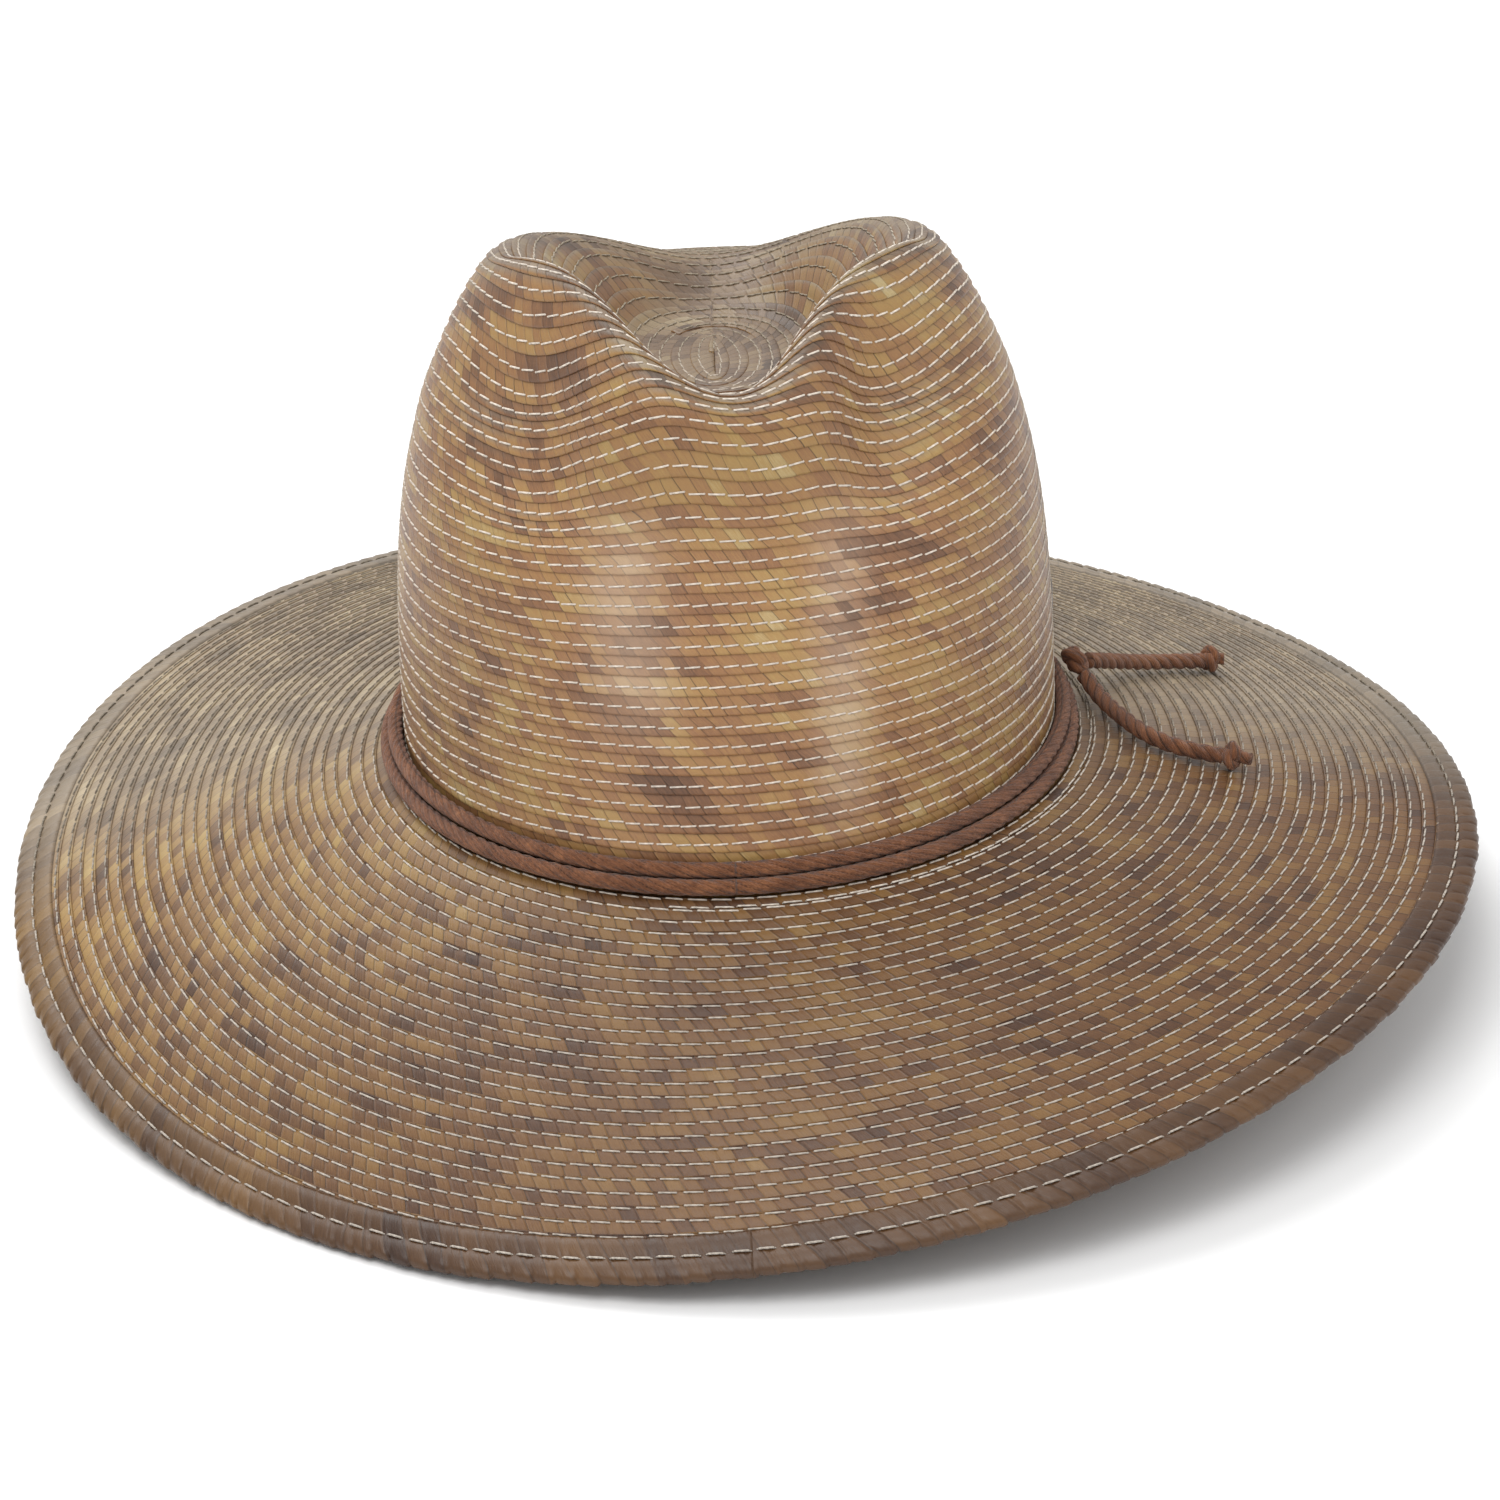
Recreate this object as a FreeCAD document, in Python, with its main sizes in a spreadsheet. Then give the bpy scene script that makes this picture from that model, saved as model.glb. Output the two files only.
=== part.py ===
import FreeCAD, Part
import Sketcher
import math
import os

from FreeCAD import Placement, Rotation, Vector

# Sun hat of sewn palm braid: a dented and pinched crown, a wide curved brim with an edge braid,
# a hatband of twisted cord wound twice and knotted, and a sweatband with its tag inside.
# The model is made about the centre of the crown's foot: +Z up, -Y to the front, +X to the
# wearer's left. At the end every piece is placed so that the origin is below the hat's middle.
# Angles round the hat start at the front and grow towards +X.

# Driving dimensions: alias, value in millimetres (or a plain ratio), what it is.
DIMENSIONS = [
    ("crown_half_width", 86.1, "outside of the crown's foot, half of its width"),
    ("crown_half_length", 100.4, "outside of the crown's foot, half of its length"),
    ("dome_height", 167.7, "height of the open crown before it is dented"),
    ("dome_power", 2.514, "squareness of the open crown's side view"),
    ("dome_corner", 0.30, "how far the upper crown is squared out at its four corners"),
    ("dent_depth", 116.5, "push that makes the dent on top"),
    ("dent_middle", -21.4, "fore and aft place of the deepest push"),
    ("dent_offset", 0.7, "sideways place of the deepest push, to the wearer's left"),
    ("dent_front", 84.9, "reach of the dent to the front"),
    ("dent_back", 109.1, "reach of the dent to the back"),
    ("dent_half_width", 58.8, "reach of the dent to each side"),
    ("dent_narrowing", 0.40, "how much narrower the dent is at the front"),
    ("dent_floor", 101.5, "height of the dent's floor, in its flat middle"),
    ("dent_flat", 34.0, "half length of the flat middle, fore and aft"),
    ("dent_rise_front", 0.25, "slope of the floor in front of the flat middle"),
    ("dent_rise_back", 0.15, "slope of the floor behind the flat middle"),
    ("back_drop", 0.212, "share of its height that the top loses at the back"),
    ("side_rise", 0.016, "rise of the top towards the wearer's left"),
    ("pinch_right", 48.3, "front pinch on the wearer's right, from the middle"),
    ("pinch_left", 40.7, "front pinch on the wearer's left, from the middle"),
    ("pinch_right_depth", 4.5, "depth of the right pinch"),
    ("pinch_left_depth", 5.8, "depth of the left pinch"),
    ("pinch_width", 12.6, "width of a pinch"),
    ("pinch_height", 113.9, "height of the middle of the pinches"),
    ("pinch_reach", 16.5, "reach of the pinches up and down"),
    ("pinch_right_sag", 10.1, "how far the right pinch drags the braid down"),
    ("pinch_left_sag", 7.1, "how far the left pinch drags the braid down"),
    ("prow_depth", 9.6, "how far the front stands out between the pinches"),
    ("crease_right", 9.4, "crease beside the right pinch, from the middle"),
    ("crease_left", 26.5, "crease beside the left pinch, from the middle"),
    ("crease_width", 8.0, "width of a crease"),
    ("crease_lift", 4.4, "how far a crease lifts the braid"),
    ("braid_thickness", 2.2, "thickness of the sewn braid"),
    ("fit_gap", 0.3, "clearance between neighbouring pieces"),
    ("tip_inset", 12.0, "half width of the oval coil at the crown's tip"),
    ("brim_run", 112.7, "width of the brim, measured along the cloth"),
    ("edge_width", 11.4, "width of the edge braid"),
    ("edge_thickness", 3.2, "thickness of the edge braid"),
    ("rim_drop", 30.7, "mean drop of the rim"),
    ("rim_front_drop", 14.7, "further drop at the front, and rise at the back"),
    ("rim_side_rise", 4.9, "rise at the wearer's left, and drop at the right"),
    ("rim_roll", 2.2, "drop shared by front and back, and rise at the sides"),
    ("rim_twist", 8.9, "twist of the rim, up at the front left"),
    ("rim_power", 1.12, "how the brim curves down towards its rim"),
    ("cord_diameter", 4.4, "diameter of the twisted cord where it hangs free"),
    ("wrap_diameter", 4.0, "diameter of the cord where it is pulled tight round the crown"),
    ("wrap_lower_out", 4.4, "lower turn, mean distance of its centre from the crown"),
    ("wrap_lower_out_swing", 1.1, "lower turn, further out in front and nearer at the back"),
    ("wrap_lower_up", 1.95, "lower turn, mean height of its centre"),
    ("wrap_lower_up_swing", -0.75, "lower turn, lower in front and higher at the back"),
    ("wrap_upper_out", 2.4, "upper turn, distance from the crown"),
    ("wrap_upper_out_swing", 0.0, "upper turn, it hugs the crown all round"),
    ("wrap_upper_up", 5.87, "upper turn, mean height"),
    ("wrap_upper_up_swing", -1.6, "upper turn, lower in front and higher at the back"),
    ("knot_width", 4.4, "half width of the hatband's knot"),
    ("knot_height", 4.2, "half height of the hatband's knot"),
    ("tail_knot_radius", 3.9, "radius of the knot that ends a tail"),
    ("tail_knot_lift", 0.8, "how far a tail's knot stands above the tail's end"),
    ("band_height", 32.0, "height of the sweatband"),
    ("band_thickness", 1.2, "thickness of the sweatband"),
    ("band_gap", 1.0, "clearance between the sweatband and the crown"),
    ("band_start", 2.0, "height at which the sweatband starts"),
    ("joint_width", 9.0, "width of the tape over the sweatband's joint"),
    ("tag_width", 20.0, "width of the blank tag"),
    ("tag_height", 14.0, "height of the blank tag"),
    ("tag_stand_off", 1.1, "clearance behind the middle of the tag"),
    ("joint_stand_off", 0.45, "clearance behind the middle of the joint tape"),
    ("tag_angle", 159.0, "place of the tag round the hat, in degrees from the front"),
    ("tape_thickness", 0.5, "thickness of the tag and of the joint tape"),
    ("stitch_length", 5.0, "length of a sweatband stitch"),
    ("stitch_radius", 0.35, "radius of the sewing thread"),
    ("stitch_height", 2.5, "height of the stitches above the sweatband's foot"),
    ("stitch_count", 60.0, "number of stitches round the sweatband"),
    ("badge_height", 12.0, "height of the badge"),
    ("badge_length", 20.0, "length of the badge"),
    ("badge_thickness", 1.2, "thickness of the badge"),
    ("badge_corner", 2.5, "corner radius of the badge"),
    ("badge_stand_off", 0.9, "clearance between the badge and the crown"),
    ("badge_up", 26.0, "distance of the badge's middle up the crown from its foot"),
    ("badge_angle", 103.0, "place of the badge round the hat, in degrees from the front"),
    ("pin_radius", 0.6, "radius of a badge pin"),
    ("pin_length", 3.4, "length of a badge pin, from the badge to its point"),
    ("pin_clearance", 0.15, "clearance between a pin and its hole in the braid"),
    ("pin_spacing", 12.0, "distance between the badge pins"),
]

DOME_STEPS = 360
ROUND_POLES = 96
CROWN_POLES = 52
BRIM_POLES = 22
EDGE_POLES = 5
TUBE_POLES = 12
RING_POLES = 72
CREST_SOFTNESS = 3.0
FLOOR_SOFTNESS = 4.0

# The hatband's knot, and the free ends of its cord from the knot to the knots that end them.
KNOT_CENTRE = Vector(94.3, 12.5, 8.3)
UPPER_TAIL = [
    Vector(97.2, 16.5, 5.0),
    Vector(104.9, 28.0, 1.0),
    Vector(114.8, 38.0, -2.8),
    Vector(124.0, 44.8, -5.2),
    Vector(132.5, 50.0, -7.0),
]
LOWER_TAIL = [
    Vector(95.4, 7.8, 5.8),
    Vector(97.7, 3.4, 2.8),
    Vector(100.7, -3.4, 1.3),
    Vector(105.0, -12.5, 0.0),
    Vector(110.2, -20.2, -1.3),
    Vector(118.6, -25.0, -3.1),
    Vector(127.9, -25.8, -4.9),
]

doc = FreeCAD.newDocument("sun_hat")
sheet = doc.addObject("Spreadsheet::Sheet", "Dimensions")


def fill_sheet():
    for row, (alias, number, note) in enumerate(DIMENSIONS, start=1):
        sheet.set(f"A{row}", note)
        sheet.set(f"B{row}", str(number))
        sheet.setAlias(f"B{row}", alias)
    doc.recompute()


def size(alias):
    return float(sheet.get(alias))


def ease(low, high, x):
    """0 below low, 1 above high, with a smooth step between."""
    share = min(1.0, max(0.0, (x - low) / (high - low)))
    return share * share * (3.0 - 2.0 * share)


def bump(x, middle, width):
    return math.exp(-0.5 * ((x - middle) / width) ** 2)


def between(table, column, x, wanted):
    """The wanted column of a table at the place where its rising column is x."""
    low, high = 0, len(table) - 1
    while high - low > 1:
        middle = (low + high) // 2
        if table[middle][column] <= x:
            low = middle
        else:
            high = middle
    start, end = table[low], table[high]
    share = min(1.0, max(0.0, (x - start[column]) / (end[column] - start[column])))
    return start[wanted] + share * (end[wanted] - start[wanted])


class Crown:
    """The crown's outer face. run is the distance up the open crown from its foot."""

    RUN, INSET, HEIGHT, LEAN_IN, CLIMB = range(5)

    def __init__(self):
        self.wide = size("crown_half_width")
        self.long = size("crown_half_length")
        self.tall = size("dome_height")
        self.table = self.side_view()

    def side_view(self):
        """Rows of run, inset from the foot's oval, height, and the slope's two parts."""
        power = 2.0 / size("dome_power")
        rows = []
        run = 0.0
        for step in range(DOME_STEPS + 1):
            turn = 0.5 * math.pi * step / DOME_STEPS
            inset = self.wide * (1.0 - math.cos(turn) ** power)
            height = self.tall * math.sin(turn) ** power
            if rows:
                run += math.hypot(inset - rows[-1][1], height - rows[-1][2])
            rows.append([run, inset, height, 0.0, 1.0])
        for before, row, after in zip(rows, rows[1:], rows[2:]):
            length = after[0] - before[0]
            row[3] = (after[1] - before[1]) / length
            row[4] = (after[2] - before[2]) / length
        rows[-1][3:] = [1.0, 0.0]
        return rows

    def run_at_inset(self, inset):
        return between(self.table, self.INSET, inset, self.RUN)

    def point(self, angle, run):
        inset = between(self.table, self.RUN, run, self.INSET)
        height = between(self.table, self.RUN, run, self.HEIGHT)
        lean_in = between(self.table, self.RUN, run, self.LEAN_IN)
        climb = between(self.table, self.RUN, run, self.CLIMB)
        wide = self.wide - inset
        long = self.long - inset
        corner = size("dome_corner") * ease(0.0, 110.0, height) / 4.0
        squared = 1.0 + corner * math.sin(2.0 * angle) ** 2
        x = wide * math.sin(angle) * squared
        y = -long * math.cos(angle) * squared
        out = Vector(math.sin(angle) / max(wide, 8.0), -math.cos(angle) / max(long, 8.0), 0.0)
        out.normalize()
        return self.dent(*self.pinch(x, y, height, out, lean_in, climb), height)

    def pinch(self, x, y, z, out, lean_in, climb):
        """The two front pinches push the dome in, and leave a prow between them."""
        zone = bump(z, size("pinch_height"), size("pinch_reach"))
        width = size("pinch_width")
        front = ease(20.0, 60.0, -y) * zone
        face = ease(30.0, 70.0, -y) * zone
        right = bump(x, -size("pinch_right"), width) * front
        left = bump(x, size("pinch_left"), width) * front
        push = size("pinch_right_depth") * right + size("pinch_left_depth") * left
        push -= size("prow_depth") * math.exp(-0.5 * (x / 26.0) ** 4) * face
        sag = (size("pinch_right_sag") * right + size("pinch_left_sag") * left) * climb
        creases = bump(x, -size("crease_right"), size("crease_width"))
        creases += bump(x, size("crease_left"), size("crease_width"))
        sag -= size("crease_lift") * creases * face
        return (
            x - out.x * climb * push,
            y - out.y * climb * push,
            z - lean_in * push - sag,
        )

    def dent(self, x, y, z, open_height):
        """The teardrop dent, the drop to the back and the rise to the wearer's left."""
        middle = size("dent_middle")
        reach = size("dent_front") if y < middle else size("dent_back")
        fore = ease(0.0, size("dent_front") - abs(middle), middle - y)
        half_width = size("dent_half_width") * (1.0 - size("dent_narrowing") * fore)
        away = math.hypot((y - middle) / reach, (x - size("dent_offset")) / half_width)
        if away < 1.0:
            share = ease(0.55 * self.tall, 0.8 * self.tall, open_height)
            z -= size("dent_depth") * math.cos(0.5 * math.pi * away) ** 2 * share
        z *= 1.0 - size("back_drop") * ease(-60.0, 90.0, y) * ease(40.0, 120.0, open_height)
        z += size("side_rise") * x * ease(30.0, 120.0, open_height)
        floor = self.floor_height(y)
        raised = floor + CREST_SOFTNESS * math.log1p(math.exp((z - floor) / CREST_SOFTNESS))
        top = ease(0.55 * self.tall, 0.8 * self.tall, open_height)
        return Vector(x, y, z * (1.0 - top) + raised * top)

    def floor_height(self, y):
        """The dent's floor: flat in its middle, and rising to the front and to the back."""
        flat = size("dent_flat")
        ahead = FLOOR_SOFTNESS * math.log1p(math.exp((-y - flat) / FLOOR_SOFTNESS))
        behind = FLOOR_SOFTNESS * math.log1p(math.exp((y - flat) / FLOOR_SOFTNESS))
        rise = size("dent_rise_front") * ahead + size("dent_rise_back") * behind
        return size("dent_floor") + rise


def foot_oval(angle, outside):
    """A point of the crown's foot, moved out by the given distance."""
    wide = size("crown_half_width")
    long = size("crown_half_length")
    out = Vector(math.sin(angle) / wide, -math.cos(angle) / long, 0.0)
    out.normalize()
    return Vector(wide * math.sin(angle), -long * math.cos(angle), 0.0) + out * outside


def rim_height(angle):
    return (
        -size("rim_drop")
        - size("rim_front_drop") * math.cos(angle)
        + size("rim_side_rise") * math.sin(angle)
        - size("rim_roll") * math.cos(2.0 * angle)
        + size("rim_twist") * math.sin(2.0 * angle)
    )


def brim_point(angle, run):
    """The brim's upper face. run is measured along the cloth from the crown's outside."""
    if run <= 0.0:
        return foot_oval(angle, run)
    length = size("brim_run")
    power = size("rim_power")
    share = run / length
    height = rim_height(angle)
    steepness = (height * power / length) ** 2
    reach = run - 0.5 * steepness * length * share ** (2.0 * power - 1.0) / (2.0 * power - 1.0)
    return foot_oval(angle, reach) + Vector(0.0, 0.0, height * share**power)


def spaced(start, end, count):
    return [start + (end - start) * step / (count - 1) for step in range(count)]


def round_angles(count):
    return [2.0 * math.pi * step / count for step in range(count)]


def surface(poles, closed_across):
    """A smooth face over a net of poles that is closed in its first direction."""
    rounds, across = len(poles), len(poles[0])
    net = Part.BSplineSurface()
    if closed_across:
        across_counts = [1] * (across + 1)
    else:
        across_counts = [4] + [1] * (across - 4) + [4]
    net.buildFromPolesMultsKnots(
        poles,
        [1] * (rounds + 1),
        across_counts,
        [float(knot) for knot in range(rounds + 1)],
        [float(knot) for knot in range(len(across_counts))],
        True,
        closed_across,
        3,
        3,
    )
    return net.toShape()


def solid_from(faces):
    shell = Part.Shell(faces)
    if len(faces) > 1:
        shell.sewShape()
    solid = Part.Solid(shell)
    if solid.Volume < 0.0:
        solid.reverse()
    return solid


def normal(upper_face, angle, run):
    """The normal of a face round the hat: out of the crown, but down into the brim."""
    step = 0.02
    around = upper_face(angle + step / 10.0, run) - upper_face(angle - step / 10.0, run)
    along = upper_face(angle, run + step) - upper_face(angle, run - step)
    found = around.cross(along)
    found.normalize()
    return found


def layer(upper_face, runs, top_side, under_side):
    """A closed layer of braid between two faces, both measured along the normal of a third."""
    angles = round_angles(ROUND_POLES)
    tops, unders = [], []
    for angle in angles:
        row = [(upper_face(angle, run), normal(upper_face, angle, run)) for run in runs]
        tops.append([point + out * top_side for point, out in row])
        unders.append([point + out * under_side for point, out in row])
    top = surface(tops, False)
    under = surface(unders, False)
    faces = [top, under]
    for edge_above, edge_below in closed_edge_pairs(top, under):
        faces.append(Part.makeRuledSurface(edge_above, edge_below))
    return solid_from(faces)


def closed_edge_pairs(top, under):
    """The matching closed edges of two faces round the hat, without their seams."""
    above = [edge for edge in top.Edges if edge.isClosed()]
    below = [edge for edge in under.Edges if edge.isClosed()]
    return zip(above, below)


def cord_ring(turn):
    """One turn of the cord round the crown's foot, named lower or upper."""
    radius = 0.5 * size("wrap_diameter")
    # Poles stand outside the curve that they control.
    pole_radius = radius * 3.0 / (2.0 + math.cos(2.0 * math.pi / TUBE_POLES))
    poles = []
    for angle in round_angles(RING_POLES):
        swing = math.cos(angle)
        outside = size(f"wrap_{turn}_out") + size(f"wrap_{turn}_out_swing") * swing
        height = size(f"wrap_{turn}_up") + size(f"wrap_{turn}_up_swing") * swing
        out = foot_oval(angle, 1.0) - foot_oval(angle, 0.0)
        centre = foot_oval(angle, outside) + Vector(0.0, 0.0, height)
        ring = []
        for around in round_angles(TUBE_POLES):
            lift = Vector(0.0, 0.0, pole_radius * math.sin(around))
            ring.append(centre + out * (pole_radius * math.cos(around)) + lift)
        poles.append(ring)
    return solid_from([surface(poles, True)])


def cord_tube(name, points):
    """A free end of the cord: straight runs joined by arcs as large as the runs allow."""
    radius = 0.5 * size("cord_diameter")
    edges = []
    start = points[0]
    for before, corner, after in zip(points, points[1:], points[2:]):
        inward = (corner - before).normalize()
        outward = (after - corner).normalize()
        turn = inward.getAngle(outward)
        shorter = min((corner - before).Length, (after - corner).Length)
        back_off = 0.45 * shorter
        bend = back_off / math.tan(0.5 * turn)
        print(f"{name}: arc radius {bend:.1f} mm, turn {math.degrees(turn):.0f} degrees")
        arc_start = corner - inward * back_off
        arc_end = corner + outward * back_off
        towards_centre = (outward - inward).normalize()
        middle = corner + towards_centre * (bend / math.cos(0.5 * turn) - bend)
        edges.append(Part.LineSegment(start, arc_start).toShape())
        edges.append(Part.Arc(arc_start, middle, arc_end).toShape())
        start = arc_end
    edges.append(Part.LineSegment(start, points[-1]).toShape())
    path = Part.Wire(edges)
    length = path.Length
    first = (points[1] - points[0]).normalize()
    section = Part.Wire(Part.makeCircle(radius, points[0], first))
    tube = path.makePipeShell([section], True, False)
    expected = math.pi * radius**2 * length
    print(f"{name}: length {length:.1f} mm, volume {tube.Volume:.0f} of {expected:.0f} mm3")
    return tube


def formed_piece(name, shape):
    """A soft piece whose face is worked out from the sheet's dimensions."""
    piece = doc.addObject("Part::Feature", name)
    piece.Shape = shape
    piece.Label = name
    return piece


def bound(kind, name, **expressions):
    """A Part primitive whose sizes are bound to the sheet."""
    piece = doc.addObject(kind, name)
    for prop, expression in expressions.items():
        piece.setExpression(prop, expression)
    piece.Label = name
    return piece


def oval_block(name, half_length, half_width, height):
    """An upright oval block, long fore and aft."""
    outline = bound(
        "Part::Ellipse", name + "_outline", MajorRadius=half_length, MinorRadius=half_width
    )
    outline.Placement = Placement(Vector(), Rotation(Vector(0, 0, 1), 90))
    block = doc.addObject("Part::Extrusion", name)
    block.Base = outline
    block.DirMode = "Custom"
    block.Dir = Vector(0, 0, 1)
    block.setExpression("LengthFwd", height)
    block.Solid = True
    return block


def plane_of(body, role):
    for feature in body.Origin.OriginFeatures:
        if feature.Role == role:
            return feature
    raise RuntimeError(f"{body.Name} has no {role}")


def rounded_plate(name, wide, high, thick, corner):
    """A flat plate with rounded corners, padded along +Z from its own XY plane."""
    body = doc.addObject("PartDesign::Body", name)
    body.Label = name
    sketch = body.newObject("Sketcher::SketchObject", name + "_sketch")
    sketch.AttachmentSupport = [(plane_of(body, "XY_Plane"), "")]
    sketch.MapMode = "FlatFace"
    draw_rectangle(sketch, wide, high)
    pad = body.newObject("PartDesign::Pad", name + "_pad")
    pad.Profile = sketch
    pad.setExpression("Length", thick)
    doc.recompute()
    if corner:
        upright = [
            f"Edge{number}"
            for number, edge in enumerate(pad.Shape.Edges, start=1)
            if abs(edge.tangentAt(edge.FirstParameter).z) > 0.99
        ]
        fillet = body.newObject("PartDesign::Fillet", name + "_corners")
        fillet.Base = (pad, upright)
        fillet.setExpression("Radius", corner)
        body.Tip = fillet
    doc.recompute()
    return body


def draw_rectangle(sketch, wide, high):
    """A rectangle about the sketch's origin, held by its own width and height."""
    corners = [Vector(-5, -5), Vector(5, -5), Vector(5, 5), Vector(-5, 5)]
    for start, end in zip(corners, corners[1:] + corners[:1]):
        sketch.addGeometry(Part.LineSegment(start, end), False)
    for line in range(4):
        following = (line + 1) % 4
        sketch.addConstraint(Sketcher.Constraint("Coincident", line, 2, following, 1))
    for line, kind in enumerate(["Horizontal", "Vertical", "Horizontal", "Vertical"]):
        sketch.addConstraint(Sketcher.Constraint(kind, line))
    sketch.addConstraint(Sketcher.Constraint("Symmetric", 0, 1, 1, 2, -1, 1))
    for number, (line, kind, value) in enumerate([(0, "wide", wide), (1, "high", high)]):
        index = sketch.addConstraint(Sketcher.Constraint("Distance", line, 10.0))
        sketch.renameConstraint(index, kind)
        sketch.setExpression(f"Constraints.{kind}", value)


def upright_at(point, outward):
    """A placement whose own Z looks along outward, and whose own Y is up."""
    across = Vector(0, 0, 1).cross(outward).normalize()
    return Placement(point, Rotation(across, outward.cross(across), outward, "ZXY"))


def crown_parts(crown):
    """The crown shell, with holes for the badge's pins, and the oval coil that it starts from."""
    foot = size("fit_gap")
    top = crown.run_at_inset(size("crown_half_width") - size("tip_inset"))
    shell = layer(crown.point, spaced(foot, top, CROWN_POLES), 0.0, -size("braid_thickness"))
    raw = doc.addObject("Part::Feature", "crown_shell")
    raw.Shape = shell
    cut = doc.addObject("Part::Cut", "crown_braid")
    cut.Base = raw
    depth = size("braid_thickness") + size("badge_stand_off") + size("pin_length")
    cut.Tool = badge_pins_at("badge_pin_holes", crown, "pin_radius + pin_clearance", 2.0 * depth, -depth)
    cut.Label = "crown_braid"
    tip = oval_block(
        "crown_tip",
        sheet_link("crown_half_length - crown_half_width + tip_inset - fit_gap"),
        sheet_link("tip_inset - fit_gap"),
        sheet_link("braid_thickness"),
    )
    tip.Label = "crown_tip"
    rest = crown.point(0.0, top).z - size("braid_thickness")
    tip.Placement = Placement(Vector(0, 0, rest), Rotation())
    return [cut, tip]


def sheet_link(words):
    """An expression over the sheet's names, such as 'tip_inset - 1'."""
    linked = words
    for alias, _, _ in DIMENSIONS:
        parts = linked.split(" ")
        linked = " ".join(f"Dimensions.{part}" if part == alias else part for part in parts)
    return linked


def brim_parts():
    """The brim, flush with the inside of the crown, and the wider braid round its rim."""
    thickness = size("braid_thickness")
    inner_edge = size("brim_run") - size("edge_width")
    brim = layer(
        brim_point,
        spaced(-thickness, 0.0, 3) + spaced(0.0, inner_edge - size("fit_gap"), BRIM_POLES)[1:],
        0.0,
        thickness,
    )
    proud = 0.5 * (size("edge_thickness") - thickness)
    edge_runs = spaced(inner_edge, size("brim_run"), EDGE_POLES)
    edge = layer(brim_point, edge_runs, -proud, thickness + proud)
    return [formed_piece("brim_braid", brim), formed_piece("edge_braid", edge)]


def hatband_parts():
    pieces = []
    for turn in ["lower", "upper"]:
        pieces.append(formed_piece(f"band_wrap_{turn}", cord_ring(turn)))
    pieces.append(band_knot())
    for name, points in [("upper", UPPER_TAIL), ("lower", LOWER_TAIL)]:
        pieces.append(formed_piece(f"tail_{name}", cord_tube(f"tail_{name}", points)))
        pieces.append(tail_knot(f"tail_knot_{name}", points))
    return pieces


def band_knot():
    knot = bound(
        "Part::Ellipsoid",
        "band_knot",
        Radius1=sheet_link("knot_height"),
        Radius2=sheet_link("knot_width"),
        Radius3=sheet_link("knot_width"),
    )
    knot.Placement = Placement(KNOT_CENTRE, Rotation())
    return knot


def tail_knot(name, points):
    """A ball of cord that takes up the end of a tail, cut flat where the tail enters it."""
    along = (points[-1] - points[-2]).normalize()
    lift = Vector(0.0, 0.0, size("tail_knot_lift"))
    middle = points[-1] + along * (0.8 * size("tail_knot_radius")) + lift
    ball = bound("Part::Sphere", name + "_ball", Radius=sheet_link("tail_knot_radius"))
    ball.Placement = Placement(middle, Rotation())
    entry = bound(
        "Part::Cylinder",
        name + "_entry",
        Radius=sheet_link("tail_knot_radius * 2"),
        Height=sheet_link("tail_knot_radius"),
    )
    face = points[-1] + along * size("fit_gap")
    entry.Placement = Placement(face, Rotation(Vector(0, 0, 1), -along))
    knot = doc.addObject("Part::Cut", name)
    knot.Base = ball
    knot.Tool = entry
    knot.Label = name
    return knot


def sweatband_parts():
    """The sweatband, the tape over its joint, its tag, and the stitches that hold it."""
    inside = "braid_thickness + band_gap"
    half_length = f"crown_half_length - {inside.replace(' + ', ' - ')}"
    half_width = f"crown_half_width - {inside.replace(' + ', ' - ')}"
    height = sheet_link("band_height")
    outer = oval_block("sweatband_outside", sheet_link(half_length), sheet_link(half_width), height)
    inner = oval_block(
        "sweatband_inside",
        sheet_link(half_length + " - band_thickness"),
        sheet_link(half_width + " - band_thickness"),
        height,
    )
    band = doc.addObject("Part::Cut", "sweatband")
    band.Base = outer
    band.Tool = inner
    band.Label = "sweatband"
    band.Placement = Placement(Vector(0, 0, size("band_start")), Rotation())
    middle = size("band_start") + 0.5 * size("band_height")
    tape = rounded_plate(
        "sweatband_joint",
        sheet_link("joint_width"),
        sheet_link("band_height - 3 * stitch_height"),
        sheet_link("tape_thickness"),
        None,
    )
    tape.Placement = inside_the_band(math.pi, middle, size("joint_stand_off"))
    tag = rounded_plate(
        "size_tag",
        sheet_link("tag_width"),
        sheet_link("tag_height"),
        sheet_link("tape_thickness"),
        sheet_link("tape_thickness"),
    )
    place = math.radians(size("tag_angle"))
    tag.Placement = inside_the_band(place, middle, size("tag_stand_off"))
    return [band, tape, tag, sweatband_stitches()]


def band_face(angle, inward):
    """A point on the inner face of the sweatband, moved inwards."""
    back = size("braid_thickness") + size("band_gap") + size("band_thickness") + inward
    wide = size("crown_half_width") - back
    long = size("crown_half_length") - back
    return Vector(wide * math.sin(angle), -long * math.cos(angle), 0.0)


def inside_the_band(angle, height, inward):
    point = band_face(angle, inward) + Vector(0, 0, height)
    towards_axis = foot_oval(angle, 0.0) - foot_oval(angle, 1.0)
    return upright_at(point, towards_axis)


def sweatband_stitches():
    """Stitches along the foot of the sweatband, each a short straight thread."""
    count = int(size("stitch_count"))
    length = size("stitch_length")
    height = Vector(0, 0, size("band_start") + size("stitch_height"))
    threads = []
    for angle in round_angles(count):
        middle = band_face(angle, size("stitch_radius") + size("fit_gap")) + height
        ahead = (band_face(angle + 0.01, 0.0) - band_face(angle - 0.01, 0.0)).normalize()
        start = middle - ahead * (0.5 * length)
        threads.append(Part.makeCylinder(size("stitch_radius"), length, start, ahead))
    return formed_piece("sweatband_stitches", Part.makeCompound(threads))


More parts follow.
